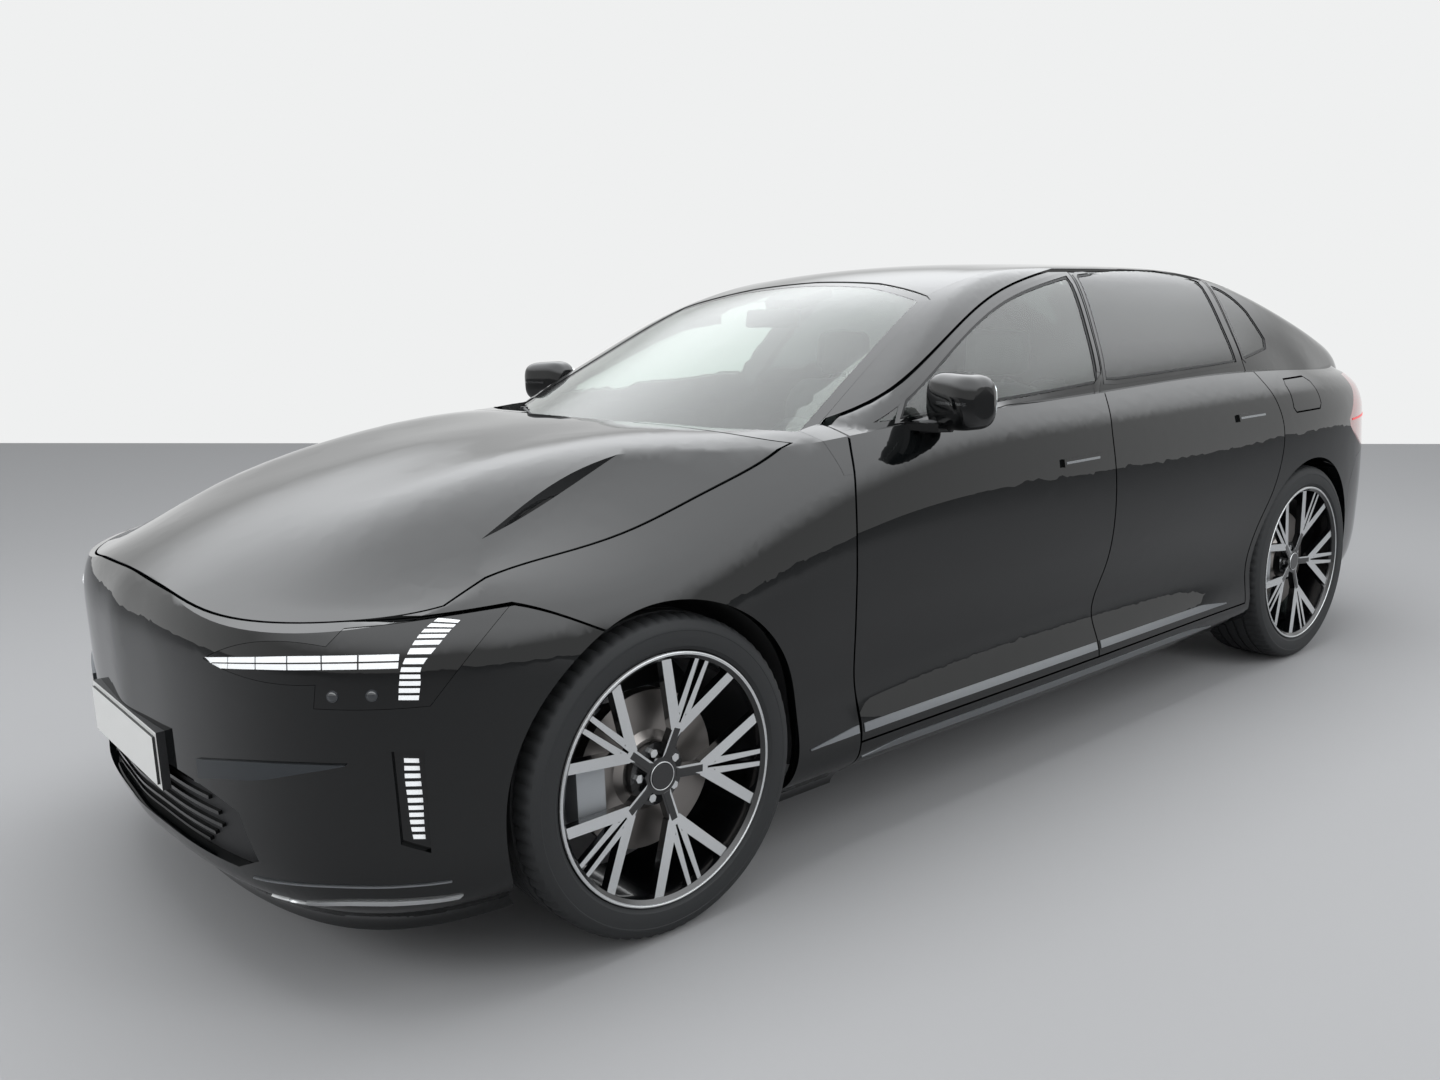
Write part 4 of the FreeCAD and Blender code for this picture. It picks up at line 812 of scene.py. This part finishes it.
# %% [markdown]
# The handles are bars in the door colour, and lie flush. A thin satin strip along each is a
# painted highlight: it stands for the light that the handle catches.
# %% Painted highlight strips on the handles
HANDLES = (("door_front_", -0.040, 0.941), ("door_rear_", 1.015, 0.985))
HANDLE_HALF = 0.086
for side in sides:
    for door, y, z in HANDLES:
        tree = skin(door + side)
        # Painted highlight: a satin strip where the handle catches the light.
        painted_highlight = bmesh.new()
        upper, lower = ([from_side(tree, side, along, height)
                         for along in spread(y - HANDLE_HALF, y + HANDLE_HALF, 11)]
                        for height in (z + 0.0035, z - 0.0035))
        patch(painted_highlight, tree, upper, lower, BAND_LIFT, 0.0006, 20, 1)
        make("%shandle_insert_%s" % (door, side), painted_highlight, anodised, door + side)
print("handle inserts", len(HANDLES) * len(sides))

# %% [markdown]
# ## Tail
# The tail lamps are red lenses with a bright line of guides inside. The lower part of the bumper is
# grained plastic, with a reflector at each side. The plate recess is bare. Places on the bumper are
# found by looking at it from behind.
# %% Tail guides, reflectors and the lower bumper
BEHIND = 3.0


def from_behind(tree, x, z, reach=6.0):
    """The point that a line from behind the car at (x, z) meets first, or None."""
    return tree.ray_cast(Vector((x, BEHIND, z)), Vector((0, -1, 0)), reach)[0]


tail_skin = skin("tail_lamps")
rear_skin = skin("rear_bumper")
for side in sides:
    guides = bmesh.new()
    top = [from_side(tail_skin, side, y, 0.905) for y in spread(1.885, 2.221, 13)]
    low = [from_side(tail_skin, side, p.y, 0.897) for p in top]
    patch(guides, tail_skin, top, low, 0.0003, 0.0012, 24, 1)
    make("tail_guide_" + side, guides, tail_guide, "body")
    reflector = bmesh.new()
    upper, lower = ([from_behind(rear_skin, OUTWARD[side] * x, z) for x in spread(0.60, 0.77, 11)]
                    for z in (0.412, 0.388))
    patch(reflector, rear_skin, upper, lower, TRIM_LIFT, 0.0015, 16, 2)
    make("reflector_" + side, reflector, lens_red, "body")
diffuser = bmesh.new()
rows = [[from_behind(rear_skin, x, z) for z in (0.350, 0.262)] for x in spread(-0.80, 0.80, 41)]
upper, lower = zip(*[row for row in rows if None not in row])
patch(diffuser, rear_skin, upper, lower, TRIM_LIFT, 0.003, 60, 4)
make("lower_rear_bumper", diffuser, grained_black, "body")
print("tail ready")

# %% [markdown]
# An upright panel closes the step between the lip of the tailgate and the face below it. Its two
# edges are felt out from behind: up each station, the first height at which a line passes through
# is the face's edge, and the next at which it is stopped again is the lip's.
# %% Panel under the tailgate lip
PANEL_HALF = 0.600
PANEL_WALL = 0.004
PANEL_SINK = 0.0012     # how far the panel stands in from the two edges
PANEL_OVERLAP = 0.004   # how far it runs on behind each edge


def laid(rows):
    """A sheet through rows of points, as a bmesh grid; all rows are equally long."""
    across, along = len(rows[0]) - 1, len(rows) - 1
    sheet = bmesh.new()
    bmesh.ops.create_grid(sheet, x_segments=across, y_segments=along, size=0.5)
    for vert in sheet.verts:
        vert.co = rows[round((vert.co.y + 0.5) * along)][round((vert.co.x + 0.5) * across)]
    return sheet


gate_skin = skin("tailgate")
face_edge, lip_edge = [], []
for x in spread(-PANEL_HALF, PANEL_HALF, 49):
    hits = [from_behind(gate_skin, x, z, 0.9) for z in spread(0.940, 1.238, 150)]
    first = next(n for n, hit in enumerate(hits) if hit is None)
    again = next(n for n, hit in enumerate(hits) if n > first and hit is not None)
    face_edge.append(hits[first - 1] - Vector((0, PANEL_SINK, PANEL_OVERLAP)))
    lip_edge.append(hits[again] - Vector((0, PANEL_SINK, -PANEL_OVERLAP)))
panel = laid([[low.lerp(high, n / 6) for low, high in zip(face_edge, lip_edge)]
              for n in range(7)])
thicken(panel, lambda vert: Vector((0, -PANEL_WALL, 0)))
make("tail_panel", panel, acrylic, "tailgate")
print("tail panel height at the middle", round((lip_edge[24] - face_edge[24]).length, 3))

# %% [markdown]
# The left quarter has the charge flap and the right one is plain. A thin painted skin, taken from
# the left side's shape and mirrored, lies over the right quarter where the CAD model keeps the same
# recess as on the left.
# %% Plain skin of the right quarter
FLAP_YS = (1.322, 1.400, 1.460, 1.520, 1.580)
FLAP_ZS = (0.963, 1.000, 1.030, 1.060, 1.100)
SKIN_LIFT, SKIN_WALL = 0.0003, 0.0008
quarter_skin = skin("body_side_left", "charge_flap")
rows = [curve([from_side(quarter_skin, "left", y, z) for y in FLAP_YS], 25) for z in FLAP_ZS]
columns = [curve([row[k] for row in rows], 17) for k in range(25)]
cover = laid([[Vector((-column[n].x - SKIN_LIFT, column[n].y, column[n].z)) for column in columns]
              for n in range(17)])
thicken(cover, lambda vert: Vector((-SKIN_WALL, 0, 0)))
make("quarter_skin_right", cover, paint, "body")
print("quarter skin ready")

# %% [markdown]
# ## Tyres
# A 245 mm tyre for a 22-inch rim has a low sidewall. Its profile is spun round the axle: four
# straight grooves run round the tread, and the shoulder ribs are cut into blocks. The sidewall
# keeps its plain rings, with no lettering. Each tyre stands for its CAD solid, and the four share
# one mesh layout.
# %% Spin the tyres
HALF_TREAD = [(0.0140, 0.3775), (0.0145, 0.3705), (0.0235, 0.3705), (0.0240, 0.3775),
              (0.0525, 0.3770), (0.0530, 0.3700), (0.0620, 0.3700), (0.0625, 0.3766),
              (0.0900, 0.3752), (0.1060, 0.3712), (0.1130, 0.3650), (0.1175, 0.3580),
              (0.1205, 0.3500), (0.1212, 0.3485), (0.1218, 0.3440), (0.1211, 0.3425),
              (0.1222, 0.3300), (0.1218, 0.3180), (0.1206, 0.3080), (0.1160, 0.3020),
              (0.1150, 0.2990), (0.1120, 0.2978)]
TYRE_PROFILE = [(-x, r) for x, r in reversed(HALF_TREAD)] + HALF_TREAD
TURNS = 216
SHOULDER_X, TREAD_RADIUS = 0.0624, 0.3700
SIPE_DEPTH = 0.0045
STEPS_A_BLOCK = 3
tyre_mesh = bmesh.new()
loop = bmesh.ops.create_circle(tyre_mesh, segments=len(TYRE_PROFILE), radius=1.0)["verts"]
for vert, (x, r) in zip(loop, TYRE_PROFILE):
    vert.co = Vector((x, 0, r))
bmesh.ops.spin(tyre_mesh, geom=tyre_mesh.verts[:] + tyre_mesh.edges[:], cent=(0, 0, 0),
               axis=(1, 0, 0), angle=2 * math.pi, steps=TURNS, use_merge=True)
for vert in tyre_mesh.verts:
    radius = math.hypot(vert.co.y, vert.co.z)
    turn = round(math.atan2(vert.co.y, vert.co.z) / (2 * math.pi) * TURNS)
    shoulder = abs(vert.co.x) > SHOULDER_X and radius > TREAD_RADIUS
    if shoulder and (turn + (1 if vert.co.x > 0 else 0)) % STEPS_A_BLOCK == 0:
        vert.co.y *= 1 - SIPE_DEPTH / radius
        vert.co.z *= 1 - SIPE_DEPTH / radius
print("tyre faces", len(tyre_mesh.faces))


def wheel_place(corner):
    """From the wheel's own frame, X outwards, to its place on the car."""
    end, side = corner.split("_")
    heading = Matrix.Rotation(0 if side == "left" else math.pi, 4, "Z")
    return Matrix.Translation((TRACK_HALF * OUTWARD[side], AXLES[end], HUB_HEIGHT)) @ heading


for corner in corners:
    copy = tyre_mesh.copy()
    bmesh.ops.transform(copy, matrix=wheel_place(corner), verts=copy.verts)
    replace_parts(make("tyre_detail_" + corner, copy, rubber, "wheel_" + corner, 24),
                "tyre_" + corner)
tyre_mesh.free()

# %% [markdown]
# ## Wheel details
# Each of the five stems has a black groove down its middle, so that only its two edges shine. The
# nuts sit in the pockets between the stems, round a plain cap with a bright ring. A bright ring
# also edges the rim. Everything is made in the wheel's own frame, X outwards, and then put in its
# place.
# %% Grooves, nuts, cap, rings and valve
STEMS = 5
STEM_ANGLE, NUT_ANGLE = -5, 31      # of the first stem and the first nut round the axle
STEM_TILT = math.radians(6)
BRIGHT_RINGS = ((0.0325, 0.0856, 0.0016), (0.2925, 0.1170, 0.0022))     # radius, x, thickness
upright = Matrix.Rotation(math.pi / 2, 4, "Y")
for corner in corners:
    dark, bright = bmesh.new(), bmesh.new()
    for k in range(STEMS):
        stem = block(dark, (-0.0006, 0.0, -0.0085), (0.0006, 0.072, 0.0085), 0.0004, None, 1)
        around = Matrix.Rotation(math.radians(360 / STEMS * k + STEM_ANGLE), 4, "X")
        lift = Matrix.Translation((0.0846, 0.042, 0)) @ Matrix.Rotation(-STEM_TILT, 4, "Z")
        bmesh.ops.transform(dark, matrix=around @ lift, verts=stem)
        nut = bmesh.ops.create_cone(bright, cap_ends=True, segments=6, radius1=0.0115,
                                    radius2=0.0105, depth=0.012)
        around = Matrix.Rotation(math.radians(360 / STEMS * k + NUT_ANGLE), 4, "X")
        pocket = around @ Matrix.Translation((0.069, 0.0555, 0))
        bmesh.ops.transform(bright, matrix=pocket @ upright, verts=nut["verts"])
    cap = bmesh.ops.create_cone(dark, cap_ends=True, segments=48, radius1=0.0315, radius2=0.0300,
                                depth=0.004)
    bmesh.ops.transform(dark, matrix=Matrix.Translation((0.0858, 0, 0)) @ upright,
                        verts=cap["verts"])
    rod(dark, (0.078, 0.250, 0.062), (0.104, 0.256, 0.063), 0.0042)
    for radius, x, thin in BRIGHT_RINGS:
        circle = bmesh.new()
        section = bmesh.ops.create_circle(circle, segments=8, radius=thin)["verts"]
        flat = Matrix.Translation((x, 0, radius)) @ upright @ Matrix.Rotation(math.pi / 2, 4, "X")
        bmesh.ops.transform(circle, matrix=flat, verts=section)
        bmesh.ops.spin(circle, geom=circle.verts[:] + circle.edges[:], cent=(0, 0, 0),
                       axis=(1, 0, 0), angle=2 * math.pi, steps=96, use_merge=True)
        pour(circle, bright)
    for bm in (dark, bright):
        bmesh.ops.transform(bm, matrix=wheel_place(corner), verts=bm.verts)
    make("wheel_grooves_" + corner, dark, rim_enamel, "wheel_" + corner)
    make("wheel_bright_parts_" + corner, bright, cut_alloy, "wheel_" + corner)
print("wheel details ready")

# %% [markdown]
# ## Seats
# Foam seats are soft: rounded all over, fuller in the middle, with raised side bolsters and
# stitched channels that pull the leather in. Each part starts as a fine box that is rounded, puffed
# and grooved before it is placed.
# %% A soft part, and the front seats
SQUARENESS = 5          # 2 would give an egg, and a large number a box
BOLSTER_LINE = 0.62     # share of the half width at which the side bolsters start
CHANNEL_DEPTH, CHANNEL_WIDTH = 0.007, 0.022
SEAM_DEPTH, SEAM_WIDTH = 0.006, 0.03


def soft(bm, size, place, puff, bolster=0.0, channels=(), cuts=23):
    """A cushion: X across, Y along its length, Z its full face; puff and bolster are its rises."""
    part = bmesh.new()
    bmesh.ops.create_cube(part, size=2.0)
    bmesh.ops.subdivide_edges(part, edges=part.edges[:], cuts=cuts, use_grid_fill=True)
    for vert in part.verts:
        length = sum(abs(v) ** SQUARENESS for v in vert.co) ** (1 / SQUARENESS)
        a, b, c = vert.co / length
        rise = 0.0
        if c > 0:
            rise += puff * (1 - a * a) * (1 - b * b)
            beside = max(0.0, (abs(a) - BOLSTER_LINE) / (1 - BOLSTER_LINE))
            rise += bolster * beside * (1 - abs(b) ** 6) * c
            for line in channels:
                dip = math.exp(-((b - line) / CHANNEL_WIDTH) ** 2)
                rise -= CHANNEL_DEPTH * dip * max(0.0, 1 - (a / BOLSTER_LINE) ** 8) * c
            rise -= SEAM_DEPTH * math.exp(-((abs(a) - BOLSTER_LINE) / SEAM_WIDTH) ** 2) * c
        vert.co = Vector((a * size[0] / 2, b * size[1] / 2, c * size[2] / 2 + rise))
    bmesh.ops.smooth_vert(part, verts=part.verts, factor=0.25, use_axis_x=True, use_axis_y=True,
                          use_axis_z=True)
    bmesh.ops.transform(part, matrix=place, verts=part.verts)
    pour(part, bm)


def placed(x, y, z, lean):
    """A place with its face turned from straight up by `lean` degrees about the X axis."""
    return Matrix.Translation((x, y, z)) @ Matrix.Rotation(math.radians(lean), 4, "X")


SEAT_X = 0.37
for side in sides:
    x = SEAT_X * OUTWARD[side]
    seat = bmesh.new()
    soft(seat, (0.50, 0.50, 0.115), placed(x, -0.072, 0.520, -2.5), 0.012, 0.030,
         (-0.45, -0.15, 0.15, 0.45))
    soft(seat, (0.47, 0.575, 0.105), placed(x, 0.236, 0.850, 76.6), 0.008, 0.026,
         (-0.5, -0.25, 0.0, 0.25, 0.5))
    soft(seat, (0.245, 0.160, 0.070), placed(x, 0.330, 1.232, 85.0), 0.006, 0.0, (), 15)
    for post in (-0.05, 0.05):
        rod(seat, (x + post, 0.290, 1.115), (x + post, 0.322, 1.175), 0.006)
    block(seat, (x - 0.185, -0.245, 0.336), (x + 0.185, 0.120, 0.462), 0.010)
    cover = make("front_seat_" + side, seat, leather, "body", 50)
    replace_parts(cover, "front_seats")
print("front seats ready")

# %% [markdown]
# ### Rear bench
# The bench has two shaped places and a flatter middle one, under one long backrest and two
# headrests.
# %% The bench
PLACE_WIDTH = 0.42
bench = bmesh.new()
for x in (-0.425, 0.0, 0.425):
    shaped = 0.0 if x == 0 else 0.014
    soft(bench, (PLACE_WIDTH, 0.470, 0.140), placed(x, 0.878, 0.500, -3.0), 0.010, shaped,
         (-0.35, 0.0, 0.35), 19)
    soft(bench, (PLACE_WIDTH - 0.03, 0.560, 0.090), placed(x * 0.93, 1.205, 0.800, 69.0), 0.008,
         shaped, (-0.4, -0.1, 0.2, 0.5), 19)
for x in (-0.36, 0.36):
    soft(bench, (0.235, 0.145, 0.062), placed(x, 1.300, 1.166, 76.0), 0.005, 0.0, (), 13)
block(bench, (-0.55, 0.705, 0.336), (0.55, 1.075, 0.450), 0.012)
bench_cover = make("rear_bench_cover", bench, leather, "body", 50)
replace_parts(bench_cover, "rear_bench")
print("bench ready")

# %% [markdown]
# ## Cabin fittings
# A driver's display stands behind the wheel and a large display in the middle. The doors have
# armrests, and the steering wheel has a padded centre with a thin bright spoke trim.
# %% Displays, vents, console, armrests and wheel centre
displays = bmesh.new()
lean = Matrix.Rotation(math.radians(-14), 3, "X")
block(displays, (0.235, -0.735, 0.945), (0.505, -0.721, 1.045), 0.005, lean)
block(displays, (-0.185, -0.690, 0.790), (0.185, -0.676, 0.965), 0.006, lean)
make("cabin_displays", displays, screen_black, "body")
vents = bmesh.new()
for x0, x1 in ((-0.66, -0.44), (-0.42, -0.22), (0.22, 0.42), (0.50, 0.66)):
    for z in (0.885, 0.897, 0.909):
        block(vents, (x0, -0.700, z), (x1, -0.678, z + 0.004), 0.001, None, 1)
make("vent_blades", vents, anodised, "body")
console = bmesh.new()
block(console, (-0.085, -0.16, 0.596), (0.085, 0.26, 0.640), 0.016, None, 4)
block(console, (-0.075, -0.62, 0.700), (0.075, -0.36, 0.712), 0.005,
      Matrix.Rotation(math.radians(-15), 3, "X"))
make("console_lid_and_tray", console, foam_skin, "body")
for side in sides:
    pad_x, card_x = 0.823 * OUTWARD[side], 0.846 * OUTWARD[side]
    for door, y0, y1 in (("front", -0.72, 0.02), ("rear", 0.30, 0.90)):
        rest = bmesh.new()
        block(rest, (pad_x - 0.031, y0, 0.690), (pad_x + 0.031, y1, 0.755), 0.018, None, 4)
        block(rest, (card_x - 0.006, y0 + 0.05, 0.800), (card_x + 0.006, y1 - 0.05, 0.900), 0.005)
        make("%s_armrest_%s" % (door, side), rest, foam_skin, "door_%s_%s" % (door, side))
wheel_axis = Matrix.Translation((0.370, -0.560, 0.905)) @ Matrix.Rotation(math.radians(-65), 4, "X")
hub = bmesh.new()
soft(hub, (0.150, 0.130, 0.052), Matrix.Translation((0, 0, 0.012)), 0.004, 0.0, (), 15)
bmesh.ops.transform(hub, matrix=wheel_axis, verts=hub.verts)
make("steering_wheel_pad", hub, foam_skin, "steering_wheel", 50)
trim = bmesh.new()
for spoke in (-1, 1):
    bar = block(trim, (spoke * 0.105 - 0.030, -0.010, 0.006),
                (spoke * 0.105 + 0.030, 0.010, 0.012), 0.002)
    bmesh.ops.transform(trim, matrix=wheel_axis, verts=bar)
make("steering_wheel_trim", trim, anodised, "steering_wheel")
print("cabin ready")

# %% [markdown]
# ## Studio
# A pale floor ends in a straight line, where the photograph's wall begins. The background is white
# by its own colour for camera, mirror and glass rays, and stays plain as a light, so that colours
# render as written.
# %% Floor and white background
FLOOR_EDGE = ((-14.54, -0.28), (-1.14, 8.76))
FLOOR_LENGTH, FLOOR_DEPTH = 44, 30
floor_paint, shader = new_finish("pale_studio_floor", "#A6A7A9", 0.85)
grain(floor_paint, shader, 0.4, 0.0005, 2.0)
edge = [Vector((x, y, 0)) for x, y in FLOOR_EDGE]
along = (edge[1] - edge[0]).normalized()
inward = Vector((along.y, -along.x, 0))
middle = (edge[0] + edge[1]) / 2
plate = bmesh.new()
bmesh.ops.create_grid(plate, x_segments=1, y_segments=1, size=0.5)
bmesh.ops.transform(plate, matrix=Matrix.Diagonal((FLOOR_LENGTH, FLOOR_DEPTH, 1, 1)),
                    verts=plate.verts)
facing = (Matrix.Translation(middle + inward * FLOOR_DEPTH / 2)
          @ Matrix.Rotation(math.atan2(along.y, along.x), 4, "Z"))
bmesh.ops.transform(plate, matrix=facing, verts=plate.verts)


def stage(name, bm, material):
    """A part of the studio, which isn't part of the car."""
    mesh = bpy.data.meshes.new(name)
    bm.to_mesh(mesh)
    bm.free()
    mesh.materials.append(material)
    thing = bpy.data.objects.new(name, mesh)
    bpy.context.scene.collection.objects.link(thing)
    return thing


stage("studio_floor", plate, floor_paint)
world = bpy.data.worlds.new("studio")
bpy.context.scene.world = world
world.use_nodes = True
world.node_tree.nodes.clear()
path = add_node(world, "ShaderNodeLightPath")
mirrored = add_node(world, "ShaderNodeMath",
                    [(0, path, "Is Camera Ray"), (1, path, "Is Glossy Ray")], operation="ADD")
seen = add_node(world, "ShaderNodeMath", [(0, mirrored, 0), (1, path, "Is Transmission Ray")],
                operation="ADD", use_clamp=True)
fill = add_node(world, "ShaderNodeBackground", (),
                [("Color", linear("#F4F5F6")), ("Strength", 0.6)])
white = add_node(world, "ShaderNodeBackground", (),
                 [("Color", linear("#EFF0F0")), ("Strength", 1.0)])
mix = add_node(world, "ShaderNodeMixShader", [(0, seen, 0), (1, fill, 0), (2, white, 0)])
add_node(world, "ShaderNodeOutputWorld", [("Surface", mix, 0)])
print("floor and background ready")

# %% [markdown]
# Black lacquer shows nothing but what it mirrors. The photograph's room has a bright ceiling, so a
# large soft reflector hangs over the car. It is full in the middle, fades out at its rim, and only
# mirror rays see it.
# %% Overhead reflector
REFLECTOR_HEIGHT, REFLECTOR_RADIUS = 5.4, 17.5
FULL_WITHIN, GONE_BEYOND = 5.0, 17.0
REFLECTOR_STRENGTH = 3.1
reflector_glow = bpy.data.materials.new("overhead_reflector")
reflector_glow.use_nodes = True
reflector_glow.node_tree.nodes.clear()
place = add_node(reflector_glow, "ShaderNodeTexCoord")
from_middle = add_node(reflector_glow, "ShaderNodeVectorMath", [(0, place, "Object")],
                       [(1, (0.0, 0.0, REFLECTOR_HEIGHT))], operation="DISTANCE")
fade = add_node(reflector_glow, "ShaderNodeMapRange", [("Value", from_middle, "Value")],
                [("From Min", FULL_WITHIN), ("From Max", GONE_BEYOND), ("To Min", 1.0),
                 ("To Max", 0.0)], interpolation_type="SMOOTHSTEP")
glow = add_node(reflector_glow, "ShaderNodeEmission", (),
                [("Color", linear("#F6F8FA")), ("Strength", REFLECTOR_STRENGTH)])
clear = add_node(reflector_glow, "ShaderNodeBsdfTransparent")
blend = add_node(reflector_glow, "ShaderNodeMixShader", [(0, fade, 0), (1, clear, 0), (2, glow, 0)])
add_node(reflector_glow, "ShaderNodeOutputMaterial", [("Surface", blend, 0)])
disc = bmesh.new()
bmesh.ops.create_circle(disc, cap_ends=True, segments=48, radius=REFLECTOR_RADIUS)
bmesh.ops.translate(disc, vec=(0, 0, REFLECTOR_HEIGHT), verts=disc.verts)
reflector = stage("overhead_reflector", disc, reflector_glow)
reflector.visible_camera = False
reflector.visible_diffuse = False
reflector.visible_transmission = False
reflector.visible_shadow = False
print("reflector ready")

# %% [markdown]
# Three soft boxes light the car at a plain level. The lacquer mirrors the reflector instead of
# them, because a lamp's hard rectangle would cut the smooth sheen that the photograph shows. The
# camera was fitted to the photograph: both wheels, the roof line and the shut lines fall where they
# do there.
# %% Lamps and camera
CAMERA_PLACE = (2.998, -3.145, 1.423)
CAMERA_TURN = (79.006, 1.784, 49.805)


def soft_box(name, place, aim, width, height, power):
    """A rectangular lamp at a place, turned towards a point; its power is in watts."""
    light = bpy.data.lights.new(name, "AREA")
    light.shape = "RECTANGLE"
    light.size = width
    light.size_y = height
    light.energy = power
    lamp = bpy.data.objects.new(name, light)
    lamp.location = place
    lamp.rotation_euler = (Vector(aim) - Vector(place)).to_track_quat("-Z", "Y").to_euler()
    lamp.visible_glossy = False
    bpy.context.scene.collection.objects.link(lamp)


soft_box("overhead_box", (0.0, -0.4, 4.6), (0.0, -0.4, 0.0), 3.2, 6.5, 170)
soft_box("left_box", (5.5, 1.0, 3.2), (0.5, 0.2, 0.6), 2.0, 6.0, 130)
soft_box("front_box", (-1.5, -7.0, 3.4), (0.0, -2.0, 0.5), 5.0, 2.0, 110)

camera_data = bpy.data.cameras.new("camera")
camera_data.lens = 30.09
camera_data.sensor_width = 36.0
camera = bpy.data.objects.new("camera", camera_data)
camera.location = CAMERA_PLACE
camera.rotation_euler = [math.radians(angle) for angle in CAMERA_TURN]
bpy.context.scene.collection.objects.link(camera)
bpy.context.scene.camera = camera
bpy.context.scene.view_settings.view_transform = "Standard"
print("studio ready")
